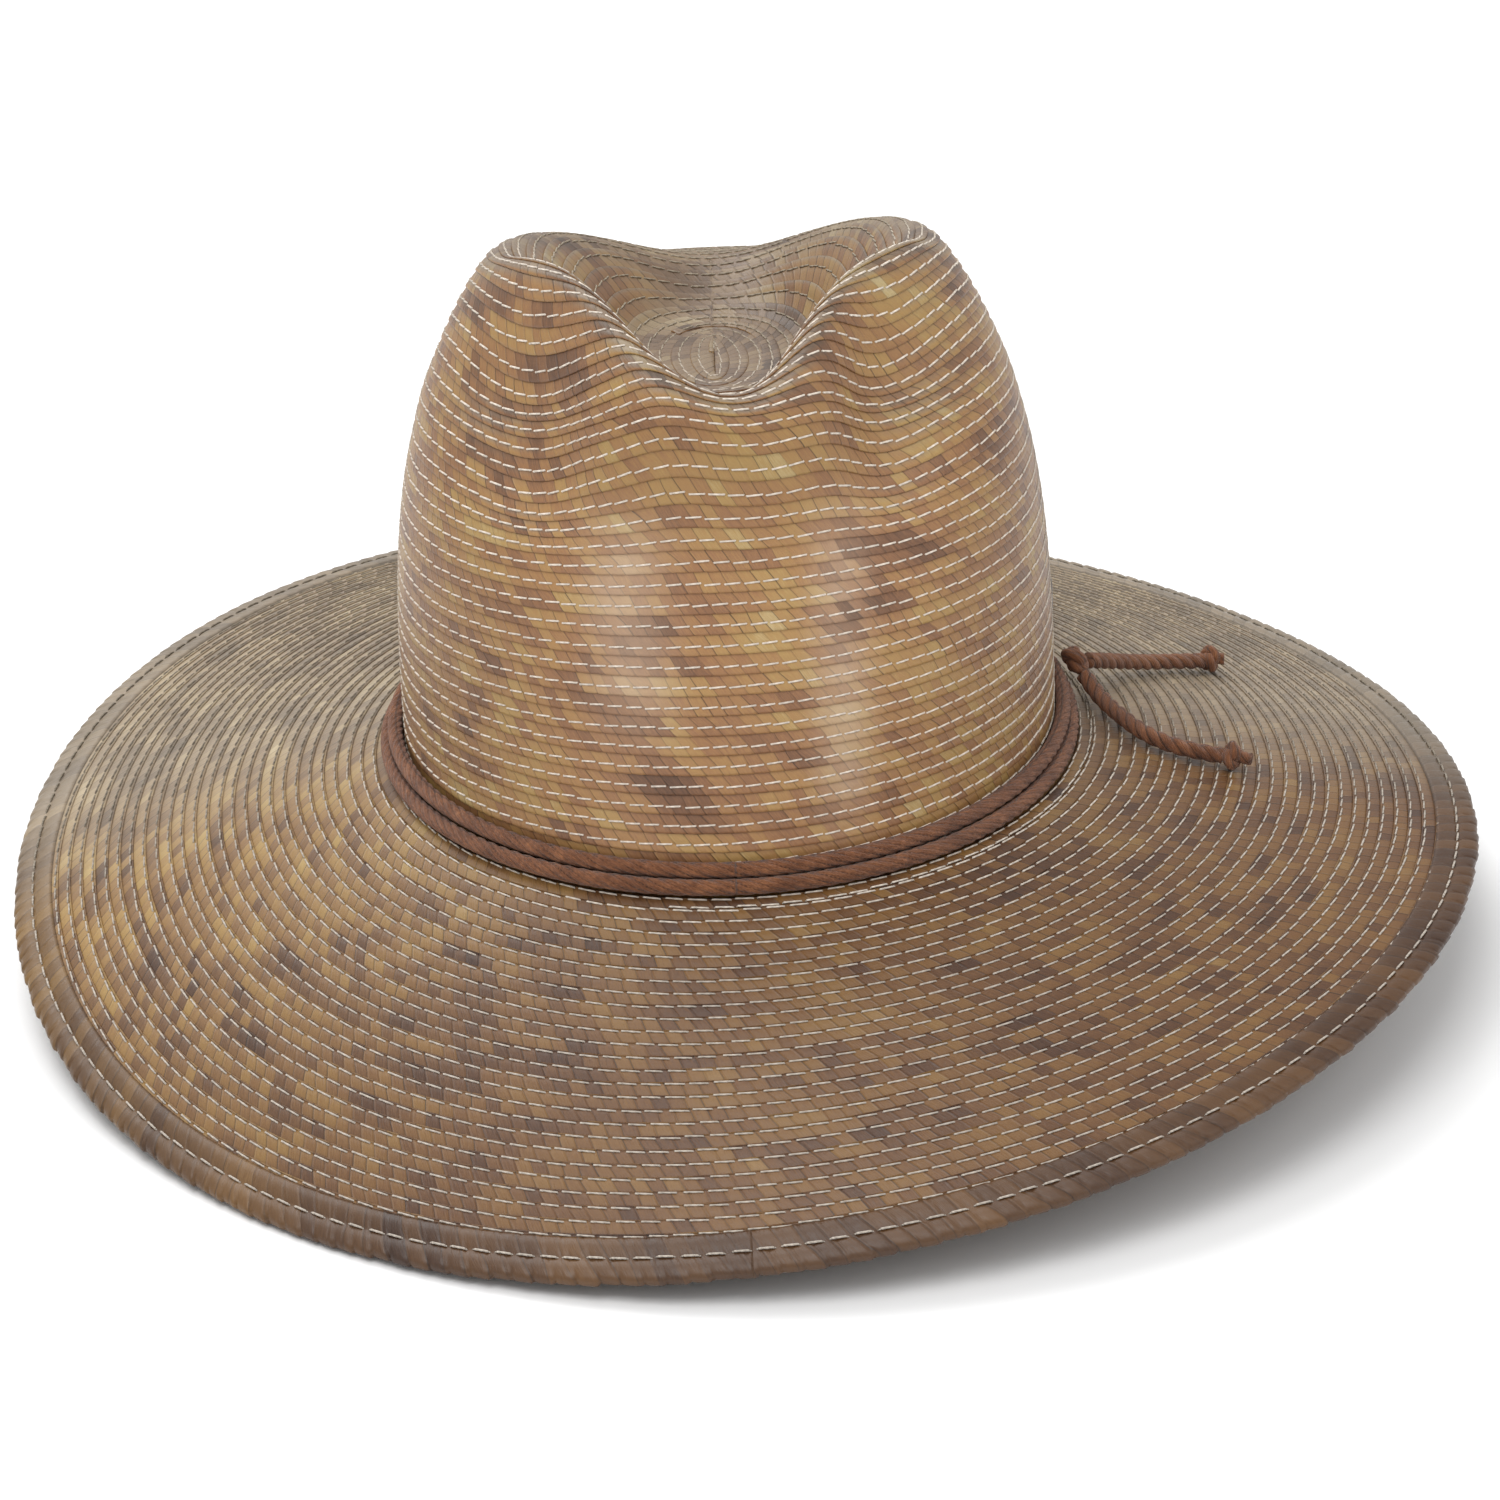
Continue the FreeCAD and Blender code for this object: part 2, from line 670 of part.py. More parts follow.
def badge_frame(crown, outside):
    """The badge's place on the crown's side behind the knot, moved out by the given distance."""
    angle = math.radians(size("badge_angle"))
    out = normal(crown.point, angle, size("badge_up"))
    return upright_at(crown.point(angle, size("badge_up")) + out * outside, out)


def badge_pins_at(name, crown, radius, length, start):
    """Two pins square to the badge, or the holes for them."""
    pins = []
    for side in [-0.5, 0.5]:
        pin = bound(
            "Part::Cylinder", f"{name}_{'a' if side < 0 else 'b'}", Radius=sheet_link(radius)
        )
        pin.Height = length
        pin.Placement = badge_frame(crown, 0.0).multiply(
            Placement(Vector(side * size("pin_spacing"), 0, start), Rotation())
        )
        pins.append(pin)
    group = doc.addObject("Part::Compound", name)
    group.Links = pins
    group.Label = name
    return group


def badge_parts(crown):
    plate = rounded_plate(
        "badge_plate",
        sheet_link("badge_length"),
        sheet_link("badge_height"),
        sheet_link("badge_thickness"),
        sheet_link("badge_corner"),
    )
    plate.Placement = badge_frame(crown, size("badge_stand_off"))
    length = size("pin_length")
    start = size("badge_stand_off") - length
    pins = badge_pins_at("badge_pins", crown, "pin_radius", length, start)
    return [plate, pins]


def check_pieces(pieces):
    for item in doc.Objects:
        if "Invalid" in item.State or "Error" in item.State:
            raise RuntimeError(f"{item.Name} failed: {item.State}")
    for piece in pieces:
        if piece.Shape.isNull() or not piece.Shape.isValid():
            raise RuntimeError(f"{piece.Label} has no valid shape")
        if piece.Shape.Volume <= 0.0:
            raise RuntimeError(f"{piece.Label} has no volume")


def stand_on_origin(pieces):
    """Moves every piece so that the origin is below the middle of the rim."""
    edge = next(piece for piece in pieces if piece.Label == "edge_braid")
    box = edge.Shape.optimalBoundingBox(False)
    shift = Vector(-box.Center.x, -box.Center.y, -box.ZMin)
    print(f"moved by {shift.x:.3f}, {shift.y:.3f}, {shift.z:.3f} mm")
    for piece in pieces:
        piece.Placement = Placement(shift, Rotation()).multiply(piece.Placement)
    doc.recompute()


def main():
    fill_sheet()
    crown = Crown()
    pieces = crown_parts(crown)
    pieces += brim_parts()
    pieces += hatband_parts()
    pieces += sweatband_parts()
    pieces += badge_parts(crown)
    doc.recompute()
    check_pieces(pieces)
    stand_on_origin(pieces)
    check_pieces(pieces)
    os.makedirs("parts", exist_ok=True)
    for piece in pieces:
        piece.Shape.exportStep(f"parts/{piece.Label}.step")
        box = piece.Shape.BoundBox
        print(
            f"{piece.Label}: {len(piece.Shape.Solids)} solid, {piece.Shape.Volume:.0f} mm3, "
            f"x {box.XMin:.1f} {box.XMax:.1f}, y {box.YMin:.1f} {box.YMax:.1f}, "
            f"z {box.ZMin:.1f} {box.ZMax:.1f}"
        )


main()
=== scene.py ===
import math

import bpy
import numpy as np
from mathutils import Matrix, Vector

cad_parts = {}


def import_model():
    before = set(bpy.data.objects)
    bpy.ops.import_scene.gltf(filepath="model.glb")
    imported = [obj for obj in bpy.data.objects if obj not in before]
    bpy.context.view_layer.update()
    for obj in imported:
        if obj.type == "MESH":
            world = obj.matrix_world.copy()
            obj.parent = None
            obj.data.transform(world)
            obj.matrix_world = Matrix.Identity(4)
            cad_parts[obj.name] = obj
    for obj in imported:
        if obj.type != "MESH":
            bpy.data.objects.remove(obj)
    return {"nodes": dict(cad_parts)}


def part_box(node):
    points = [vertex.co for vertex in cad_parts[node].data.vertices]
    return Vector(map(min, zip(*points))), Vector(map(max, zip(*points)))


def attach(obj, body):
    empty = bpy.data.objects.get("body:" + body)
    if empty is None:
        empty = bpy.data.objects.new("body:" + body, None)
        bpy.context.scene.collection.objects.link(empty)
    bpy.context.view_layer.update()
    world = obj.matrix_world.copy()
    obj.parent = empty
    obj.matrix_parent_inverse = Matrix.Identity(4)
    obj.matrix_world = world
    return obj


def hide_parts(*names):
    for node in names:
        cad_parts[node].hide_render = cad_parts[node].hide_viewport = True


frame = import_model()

# Sun hat of sewn palm braid. Lengths below are millimetres about the centre of the crown's foot
# unless a name says otherwise; in_row_frame() turns them into metres in the row frame. Angles
# round the hat start at the front (-Y) and grow towards the wearer's left (+X).

TAU = 2.0 * math.pi
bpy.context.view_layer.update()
chance = np.random.default_rng(11)


def crown_origin():
    """The centre of the crown's foot in the row frame, in millimetres, from the sweatband's box."""
    low, high = (np.array(corner) * 1000.0 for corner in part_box("sweatband"))
    origin = 0.5 * (low + high)
    origin[2] = low[2] - BAND_START
    return origin


# How far the sweatband starts above the crown's foot.
BAND_START = 2.0
ORIGIN = crown_origin()


def in_row_frame(points):
    return (np.asarray(points, dtype=float) + ORIGIN) / 1000.0


def unit(vectors):
    return vectors / np.linalg.norm(vectors, axis=-1, keepdims=True)


def distances(line):
    """The distance from a line's start to each of its points."""
    return np.concatenate([[0.0], np.cumsum(np.linalg.norm(np.diff(line, axis=0), axis=1))])


# ------------------------ the hat's faces

# The open crown, its wall, and the inset of the flat oval tip.
HALF_WIDTH, HALF_LENGTH = 86.1, 100.4
DOME_HEIGHT, DOME_POWER, DOME_CORNER = 167.7, 2.514, 0.30
BRAID_THICKNESS, TIP_INSET = 2.2, 12.0
# The two pinches in front: place across, push inwards and sag of each, from the wearer's right.
PINCH_HEIGHT, PINCH_SPREAD, PINCH_WIDTH = 113.9, 16.5, 12.6
RIGHT_PINCH, LEFT_PINCH = (-48.3, 4.5, 10.1), (40.7, 5.8, 7.1)
# The prow between them, and the two creases that run up beside it.
PROW_PUSH, PROW_WIDTH = 9.6, 26.0
CREASES, CREASE_WIDTH, CREASE_RISE = (-9.4, 26.5), 8.0, 4.4
# The teardrop dent on top, and the floor that it is not pressed below.
DENT_X, DENT_Y, DENT_AHEAD, DENT_BEHIND = 0.7, -21.4, 84.9, 109.1
DENT_HALF_WIDTH, DENT_NARROWING, DENT_DEPTH = 58.8, 0.40, 116.5
FLOOR_HEIGHT, FLOOR_FLAT, FLOOR_SOFTNESS, DENT_SOFTNESS = 101.5, 34.0, 4.0, 3.0
FLOOR_RISE_AHEAD, FLOOR_RISE_BEHIND = 0.25, 0.15
# The crown falls to the back and rises to the wearer's left by these shares.
BACK_DROP, LEFT_RISE = 0.212, 0.016
# The brim's width along the cloth, and its rim's mean height with its swings once and twice round.
BRIM_RUN, EDGE_WIDTH, BRIM_POWER = 112.7, 11.4, 1.12
RIM_HEIGHT, RIM_TILT, RIM_LEAN, RIM_BOW, RIM_TWIST = -30.7, -14.7, 4.9, -2.2, 8.9


def ease(low, high, x):
    """A soft step from 0 to 1 between two values of x."""
    share = np.clip((x - low) / (high - low), 0.0, 1.0)
    return share * share * (3.0 - 2.0 * share)


def bump(x, middle, width):
    """A bell of height 1."""
    return np.exp(-0.5 * ((x - middle) / width) ** 2)


def dome_table():
    """Run up the open crown, inset from the foot, height, and the two parts of the slope."""
    turn = np.linspace(0.0, 0.5 * math.pi, 1400)
    power = 2.0 / DOME_POWER
    inset = HALF_WIDTH * (1.0 - np.cos(turn) ** power)
    height = DOME_HEIGHT * np.sin(turn) ** power
    run = np.concatenate([[0.0], np.cumsum(np.hypot(np.diff(inset), np.diff(height)))])
    return run, inset, height, np.gradient(inset, run), np.gradient(height, run)


RUN, INSET, HEIGHT, LEAN_IN, CLIMB = dome_table()


def dent_floor(y):
    """The dent's floor: flat in its middle, and rising to the front and to the back."""
    ahead, behind = (
        FLOOR_SOFTNESS * np.logaddexp(0.0, (away - FLOOR_FLAT) / FLOOR_SOFTNESS) for away in (-y, y)
    )
    return FLOOR_HEIGHT + FLOOR_RISE_AHEAD * ahead + FLOOR_RISE_BEHIND * behind


def crown_point(angle, run):
    """The crown's outer face: an open dome, pinched twice in front and dented on top."""
    inset, height = np.interp(run, RUN, INSET), np.interp(run, RUN, HEIGHT)
    lean_in, climb = np.interp(run, RUN, LEAN_IN), np.interp(run, RUN, CLIMB)
    wide, long = HALF_WIDTH - inset, HALF_LENGTH - inset
    corner = 1.0 + 0.25 * DOME_CORNER * ease(0.0, 110.0, height) * np.sin(2.0 * angle) ** 2
    x, y = wide * np.sin(angle) * corner, -long * np.cos(angle) * corner
    out_x, out_y = np.sin(angle) / np.maximum(wide, 8.0), -np.cos(angle) / np.maximum(long, 8.0)
    size = np.hypot(out_x, out_y)
    out_x, out_y = out_x / size, out_y / size
    # Pinches, the prow between them, and the creases beside it.
    zone = bump(height, PINCH_HEIGHT, PINCH_SPREAD)
    front, face = ease(20.0, 60.0, -y) * zone, ease(30.0, 70.0, -y) * zone
    (right_x, right_push, right_sag), (left_x, left_push, left_sag) = RIGHT_PINCH, LEFT_PINCH
    right, left = bump(x, right_x, PINCH_WIDTH) * front, bump(x, left_x, PINCH_WIDTH) * front
    prow = PROW_PUSH * np.exp(-0.5 * (x / PROW_WIDTH) ** 4) * face
    push = right_push * right + left_push * left - prow
    creases = sum(bump(x, middle, CREASE_WIDTH) for middle in CREASES) * face
    sag = (right_sag * right + left_sag * left) * climb - CREASE_RISE * creases
    x, y = x - out_x * climb * push, y - out_y * climb * push
    z = height - lean_in * push - sag
    # The teardrop dent, the drop to the back and the rise to the wearer's left.
    reach = np.where(y < DENT_Y, DENT_AHEAD, DENT_BEHIND)
    fore = ease(0.0, DENT_AHEAD + DENT_Y, DENT_Y - y)
    half_width = DENT_HALF_WIDTH * (1.0 - DENT_NARROWING * fore)
    away = np.minimum(np.hypot((y - DENT_Y) / reach, (x - DENT_X) / half_width), 1.0)
    top = ease(0.55 * DOME_HEIGHT, 0.8 * DOME_HEIGHT, height)
    z = z - DENT_DEPTH * np.cos(0.5 * math.pi * away) ** 2 * top
    z = z * (1.0 - BACK_DROP * ease(-60.0, 90.0, y) * ease(40.0, 120.0, height))
    z = z + LEFT_RISE * x * ease(30.0, 120.0, height)
    floor_here = dent_floor(y)
    raised = floor_here + DENT_SOFTNESS * np.logaddexp(0.0, (z - floor_here) / DENT_SOFTNESS)
    return np.stack([x, y, z * (1.0 - top) + raised * top], axis=-1)


def foot_oval(angle, outside):
    """The crown's outline at its foot, or a line at a distance outside it."""
    out_x, out_y = np.sin(angle) / HALF_WIDTH, -np.cos(angle) / HALF_LENGTH
    size = np.hypot(out_x, out_y)
    x = HALF_WIDTH * np.sin(angle) + out_x / size * outside
    y = -HALF_LENGTH * np.cos(angle) + out_y / size * outside
    return x, y


def brim_point(angle, run):
    """The brim's upper face. run is measured along the cloth from the crown's outside."""
    height = (
        RIM_HEIGHT + RIM_TILT * np.cos(angle) + RIM_LEAN * np.sin(angle)
        + RIM_BOW * np.cos(2.0 * angle) + RIM_TWIST * np.sin(2.0 * angle)
    )
    share = np.maximum(run, 0.0) / BRIM_RUN
    steepness = (height * BRIM_POWER / BRIM_RUN) ** 2
    bend = 2.0 * BRIM_POWER - 1.0
    shrink = 0.5 * steepness * BRIM_RUN * share**bend / bend
    x, y = foot_oval(angle, run - shrink)
    return np.stack([x, y, height * share**BRIM_POWER], axis=-1)


TIP_RUN = float(np.interp(HALF_WIDTH - TIP_INSET, INSET, RUN))
TIP_LEVEL = float(crown_point(np.array(0.0), np.array(TIP_RUN))[2]) - 0.5


def tip_point(angle, run):
    """The flat oval at the middle of the dent. run is measured inwards from its edge."""
    left = np.maximum(TIP_INSET - run, 0.0)
    long = HALF_LENGTH - HALF_WIDTH + left
    x, y = left * np.sin(angle), -long * np.cos(angle)
    return np.stack([x, y, np.full_like(x, TIP_LEVEL)], axis=-1)


def face_normal(face, angle, run, facing):
    """The outer normal of a face. facing is 1 where run climbs, and -1 where it spreads out."""
    around = face(angle + 0.002, run) - face(angle - 0.002, run)
    along = face(angle, run + 0.05) - face(angle, run - 0.05)
    found = np.cross(around, along) * facing
    return found / np.maximum(np.linalg.norm(found, axis=-1, keepdims=True), 1e-9)


# ------------------------ mesh helpers


def mesh_object(name, points, faces, finish, marks=None):
    """A smooth mesh from points in millimetres and an array of quads, with vector marks at its points."""
    mesh = bpy.data.meshes.new(name)
    points = in_row_frame(points).reshape(-1, 3)
    faces = np.asarray(faces, dtype=np.int32)
    mesh.vertices.add(len(points))
    mesh.vertices.foreach_set("co", points.astype(np.float32).ravel())
    mesh.loops.add(faces.size)
    mesh.loops.foreach_set("vertex_index", faces.ravel())
    mesh.polygons.add(len(faces))
    mesh.polygons.foreach_set("loop_start", np.arange(0, faces.size, 4, dtype=np.int32))
    mesh.update(calc_edges=True)
    for mark, values in (marks or {}).items():
        layer = mesh.attributes.new(mark, "FLOAT_VECTOR", "POINT")
        layer.data.foreach_set("vector", np.asarray(values, dtype=np.float32).reshape(-1))
    mesh.polygons.foreach_set("use_smooth", np.full(len(faces), True))
    mesh.materials.append(finish)
    obj = bpy.data.objects.new(name, mesh)
    bpy.context.scene.collection.objects.link(obj)
    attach(obj, "root")
    return obj


def grid_faces(rows, columns, close_rows=False):
    """Quads round a tube's rows of points: a ring if its rows close, and capped if they don't."""
    down = np.arange(rows if close_rows else rows - 1)
    i, j = np.meshgrid(down, np.arange(columns), indexing="ij")
    ni, nj = (i + 1) % rows, (j + 1) % columns
    quads = np.stack([i * columns + j, i * columns + nj, ni * columns + nj, ni * columns + j], -1)
    quads = quads.reshape(-1, 4)
    if not close_rows:
        quads = np.concatenate([quads, cap(columns, 0, False), cap(columns, (rows - 1) * columns, True)])
    return quads


def cap(columns, start, flip):
    """Quads that close the end of a tube with an even number of columns."""
    quads = []
    for k in range(columns // 2 - 1):
        quad = [start + k, start + columns - 1 - k, start + columns - 2 - k, start + k + 1]
        quads.append(quad[::-1] if flip else quad)
    return np.array(quads, dtype=np.int32)


def rounded_loop(half_wide, half_high, corner, points, divisions, lift):
    """A rectangle with rounded corners, each of them some points of a quarter's divisions."""
    loop = []
    for quarter in range(4):
        for step in range(points):
            turn = 0.25 * TAU * (quarter + step / divisions)
            x = (half_wide - corner) * (1.0 if quarter in (0, 3) else -1.0)
            y = (half_high - corner) * (1.0 if quarter in (0, 1) else -1.0)
            loop.append((x + corner * math.cos(turn), y + corner * math.sin(turn), lift))
    return loop


def many_tubes(name, centres, sides, ups, radii, around):
    """Many short closed tubes of thread. centres is (tube, ring, 3), and radii is (ring,)."""
    tubes, rings = centres.shape[:2]
    turn = np.arange(around) / around * TAU
    radii = np.broadcast_to(radii, (tubes, rings))[..., None, None]
    ring = sides[:, :, None, :] * np.cos(turn)[:, None] + ups[:, :, None, :] * np.sin(turn)[:, None]
    points = centres[:, :, None, :] + ring * radii
    one = grid_faces(rings, around)
    step = rings * around
    quads = (one[None] + np.arange(tubes)[:, None, None] * step).reshape(-1, 4)
    marks = np.zeros((tubes, rings, around, 3))
    marks[..., 0] = np.linspace(0.0, 4.0, rings)[None, :, None]
    marks[..., 1] = turn
    marks[..., 2] = chance.random(tubes)[:, None, None]
    obj = mesh_object(name, points, quads, thread, {"thread": marks})
    return obj


def surface_stitches(name, centres, out, radii, around):
    """Stitches that lie on a face whose outer normals are given."""
    ahead = unit(np.gradient(centres, axis=1))
    sides = unit(np.cross(ahead, out))
    many_tubes(name, centres, sides, np.cross(sides, ahead), np.array(radii), around)


# ------------------------ materials


# Painted highlights on the crown's front: place across, half width, and the heights between which each fades
# in, in metres.
PAINTED_HIGHLIGHTS = ((-0.024, 0.017, 0.085, 0.110), (0.026, 0.012, 0.060, 0.085))
# The widths of one leaf strip, along the braid.
CROWN_STRIP, BRIM_STRIP, EDGE_STRIP = 3.7, 3.9, 5.2


class Finish:
    """A Principled material with short ways to add nodes."""

    def __init__(self, name, roughness=0.6, specular=0.5):
        self.material = bpy.data.materials.new(name)
        self.material.use_nodes = True
        self.tree = self.material.node_tree
        self.shader = self.tree.nodes["Principled BSDF"]
        self.shader.inputs["Roughness"].default_value = roughness
        self.shader.inputs["Specular IOR Level"].default_value = specular

    def feed(self, socket, value):
        if isinstance(value, bpy.types.NodeSocket):
            self.tree.links.new(value, socket)
        else:
            socket.default_value = value

    def node(self, kind):
        return self.tree.nodes.new("ShaderNode" + kind)

    def math(self, operation, a, b=0.0, c=0.0, clamp=False):
        node = self.node("Math")
        node.operation = operation
        node.use_clamp = clamp
        for socket, value in zip(node.inputs, (a, b, c)):
            self.feed(socket, value)
        return node.outputs[0]

    def times(self, a, b):
        return self.math("MULTIPLY", a, b)

    def plus(self, a, b):
        return self.math("ADD", a, b)

    def mark(self, name):
        """The three numbers of a mesh's mark."""
        node = self.node("Attribute")
        node.attribute_name = name
        split = self.node("SeparateXYZ")
        self.tree.links.new(node.outputs["Vector"], split.inputs[0])
        return split.outputs

    def vector(self, x, y, z=0.0):
        node = self.node("CombineXYZ")
        for socket, value in zip(node.inputs, (x, y, z)):
            self.feed(socket, value)
        return node.outputs[0]

    def place(self):
        """The point's place on the object, in metres."""
        return self.node("TexCoord").outputs["Object"]

    def noise(self, vector, scale, detail=2.0, rough=0.5):
        node = self.node("TexNoise")
        self.feed(node.inputs["Vector"], vector)
        node.inputs["Scale"].default_value = scale
        node.inputs["Detail"].default_value = detail
        node.inputs["Roughness"].default_value = rough
        return node.outputs["Fac"]

    def random(self, vector):
        node = self.node("TexWhiteNoise")
        self.feed(node.inputs["Vector"], vector)
        return node.outputs["Value"]

    def span(self, value, low, high, to_low=0.0, to_high=1.0, smooth=False):
        node = self.node("MapRange")
        node.interpolation_type = "SMOOTHSTEP" if smooth else "LINEAR"
        numbers = (value, low, high, to_low, to_high)
        for socket, number in zip(node.inputs, numbers):
            self.feed(socket, number)
        return node.outputs[0]

    def ramp(self, value, stops):
        node = self.node("ValToRGB")
        elements = node.color_ramp.elements
        elements[0].position, elements[1].position = stops[0][0], stops[-1][0]
        elements[0].color, elements[1].color = tint(*stops[0][1]), tint(*stops[-1][1])
        for position, colour in stops[1:-1]:
            elements.new(position).color = tint(*colour)
        self.feed(node.inputs[0], value)
        return node.outputs[0]

    def blend(self, kind, share, a, b):
        node = self.node("Mix")
        node.data_type = "RGBA"
        node.blend_type = kind
        for socket, value in zip((node.inputs[0], node.inputs[6], node.inputs[7]), (share, a, b)):
            self.feed(socket, value)
        return node.outputs[2]

    def grey(self, value):
        node = self.node("CombineColor")
        for socket in node.inputs:
            self.feed(socket, value)
        return node.outputs[0]

    def places(self):
        """The three parts of the point's place, in metres."""
        split = self.node("SeparateXYZ")
        self.tree.links.new(self.place(), split.inputs[0])
        return split.outputs

    def painted_sky_reflection(self, colour, upward):
        """Painted reflection of the pale sky: the braid behind, and the crown where it faces up, blended
        towards grey.
        """
        y = self.places()[1]
        start, full, most = (-0.02, 0.09, 0.55) if upward else (-0.045, 0.03, 0.68)
        share = self.span(y, start, full, 0.0, most, True)
        if upward:
            facing = self.node("SeparateXYZ")
            geometry = self.node("NewGeometry")
            self.tree.links.new(geometry.outputs["Normal"], facing.inputs[0])
            share = self.math("MAXIMUM", share, self.span(facing.outputs[2], 0.40, 0.85, 0.0, 0.66, True))
        value = self.node("RGBToBW")
        self.feed(value.inputs[0], colour)
        gain, lift = (0.86, 0.0) if upward else (0.90, 0.17)
        level = self.plus(self.times(value.outputs[0], gain), lift)
        grey = self.blend("MULTIPLY", 1.0, self.grey(level), tint(255, 238, 212))
        return self.blend("MIX", share, colour, grey)

    def painted_front_shade(self, colour):
        """Painted shade: the brim is darker and browner in front and on the wearer's left than elsewhere."""
        x, y, _ = self.places()
        ahead = self.math("SUBTRACT", self.times(y, 5.0), self.times(x, 2.7))
        share = self.span(ahead, -0.75, 0.40, 0.0, 1.0, True)
        level = self.blend("MIX", share, (0.42, 0.33, 0.23, 1.0), (0.84, 0.84, 0.71, 1.0))
        return self.blend("MULTIPLY", 1.0, colour, level)

    def painted_highlight_and_side_shade(self, colour, streak):
        """Two upright painted highlights on the front of the crown, and painted shade at its sides."""
        x, y, z = self.places()
        share = 0.0
        for middle, width, low, high in PAINTED_HIGHLIGHTS:
            away = self.math("ABSOLUTE", self.math("SUBTRACT", x, middle))
            stretch = self.span(away, 0.0, width, 1.0, 0.0, True)
            stretch = self.times(stretch, self.span(z, low, high, 0.1, 1.0, True))
            share = self.plus(share, stretch)
        share = self.times(share, self.span(y, -0.065, -0.05, 1.0, 0.0, True))
        share = self.times(share, self.span(z, 0.135, 0.158, 1.0, 0.0, True))
        share = self.times(share, self.span(streak, 0.3, 0.7, 0.08, 0.50))
        # Painted highlight: a pale colour blended in over the two upright stretches.
        colour = self.blend("MIX", share, colour, tint(206, 186, 164))
        # Painted shade: the crown is darker at its sides. It is also darker near its top.
        aside = self.span(self.math("ABSOLUTE", x), 0.030, 0.078, 0.0, 1.0, True)
        aside = self.math("MAXIMUM", aside, self.span(z, 0.135, 0.165, 0.0, 0.8, True))
        level = self.blend("MIX", aside, (1.0, 1.0, 1.0, 1.0), (0.78, 0.77, 0.68, 1.0))
        return self.blend("MULTIPLY", 1.0, colour, level)

    def colour(self, value):
        self.feed(self.shader.inputs["Base Color"], value)

    def roughness(self, value):
        self.feed(self.shader.inputs["Roughness"], value)

    def bumps(self, height, distance_mm, strength=1.0):
        node = self.node("Bump")
        node.inputs["Strength"].default_value = strength
        node.inputs["Distance"].default_value = distance_mm / 1000.0
        self.feed(node.inputs["Height"], height)
        self.tree.links.new(node.outputs[0], self.shader.inputs["Normal"])


def tint(red, green, blue):
    """A colour stop from 0-255 screen values, as the linear values that nodes use."""
    screen = np.array([red, green, blue]) / 255.0
    linear = np.where(screen <= 0.04045, screen / 12.92, ((screen + 0.055) / 1.055) ** 2.4)
    return (*linear.tolist(), 1.0)


def braid_finish(name, stops, strip, slope, patch, crack, edge_shade):
    """Palm-leaf braid: strips laid aslant with dark hairlines between them, and toned in patches.

    slope is the strips' lean, patch the scale of the toned patches, and crack and edge_shade how
    light the darkest hairlines and the painted shade along the row's free edge are.
    """
    f = Finish(name, 0.5, 0.5)
    along, across, row = f.mark("braid")
    wander = f.noise(f.vector(f.times(along, 0.05), f.times(row, 3.1)), 1.0)
    slant = f.times(across, f.span(wander, 0.35, 0.65, 0.5 * slope, slope))
    lean = f.plus(f.plus(along, slant), f.times(wander, 2.5))
    cell = f.math("DIVIDE", lean, strip)
    number, part = f.math("FLOOR", cell), f.math("FRACT", cell)
    own = f.random(f.vector(number, row, 0.0))
    large = f.noise(f.place(), patch, 3.0, 0.6)
    streak_place = f.vector(f.times(number, 0.16), f.times(row, 0.55))
    streak = f.noise(streak_place, 1.0, 3.0, 0.65)
    fibre_place = f.vector(f.times(lean, 2.6), f.times(across, 0.35), row)
    fibre = f.noise(fibre_place, 1.0, 3.0, 0.65)
    tone = f.span(large, 0.32, 0.68, 0.0, 0.22)
    tone = f.plus(tone, f.span(streak, 0.32, 0.68, 0.0, 0.50))
    tone = f.plus(tone, f.times(own, 0.28))
    tone = f.math("ADD", tone, f.times(f.math("SUBTRACT", fibre, 0.5), 0.45), clamp=True)
    colour = f.ramp(tone, stops)
    to_side = f.math("MINIMUM", part, f.math("SUBTRACT", 1.0, part))
    depth = f.span(f.random(f.vector(number, row, 7.0)), 0.0, 1.0, 1.0, crack)
    shade = f.span(to_side, 0.0, 0.07, depth, 1.0, True)
    # Painted shade along the row's free edge.
    edge = f.span(across, 0.0, 0.45, edge_shade, 1.0, True)
    colour = f.blend("MULTIPLY", 1.0, colour, f.grey(f.times(shade, edge)))
    on_crown = name == "palm_braid_crown"
    # Painted highlights and painted side shade on the crown's front.
    # Painted shade on the brim's front.
    colour = f.painted_highlight_and_side_shade(colour, streak) if on_crown else f.painted_front_shade(colour)
    # Painted sky reflection greys the braid behind and the crown's upward faces.
    f.colour(f.painted_sky_reflection(colour, on_crown))
    f.roughness(f.span(fibre, 0.3, 0.7, 0.34, 0.52))
    crest = f.span(to_side, 0.0, 0.16, 0.0, 1.0, True)
    height = f.plus(f.times(crest, 0.5), f.times(fibre, 0.5))
    f.bumps(height, 0.22, 0.8)
    return f.material


CROWN_STOPS = [
    (0.05, (84, 58, 42)), (0.25, (118, 82, 57)), (0.42, (146, 104, 70)),
    (0.58, (162, 122, 76)), (0.78, (170, 138, 84)), (1.0, (190, 170, 128)),
]
BRIM_STOPS = [
    (0.05, (72, 48, 36)), (0.28, (112, 80, 56)), (0.48, (148, 112, 74)),
    (0.66, (168, 134, 84)), (0.84, (180, 150, 96)), (1.0, (202, 178, 132)),
]
EDGE_STOPS = [
    (0.05, (62, 40, 28)), (0.3, (93, 66, 43)), (0.55, (121, 91, 58)),
    (0.8, (140, 108, 68)), (1.0, (166, 135, 90)),
]
crown_finish = braid_finish("palm_braid_crown", CROWN_STOPS, CROWN_STRIP, slope=0.95, patch=26.0,
                            crack=0.08, edge_shade=0.94)
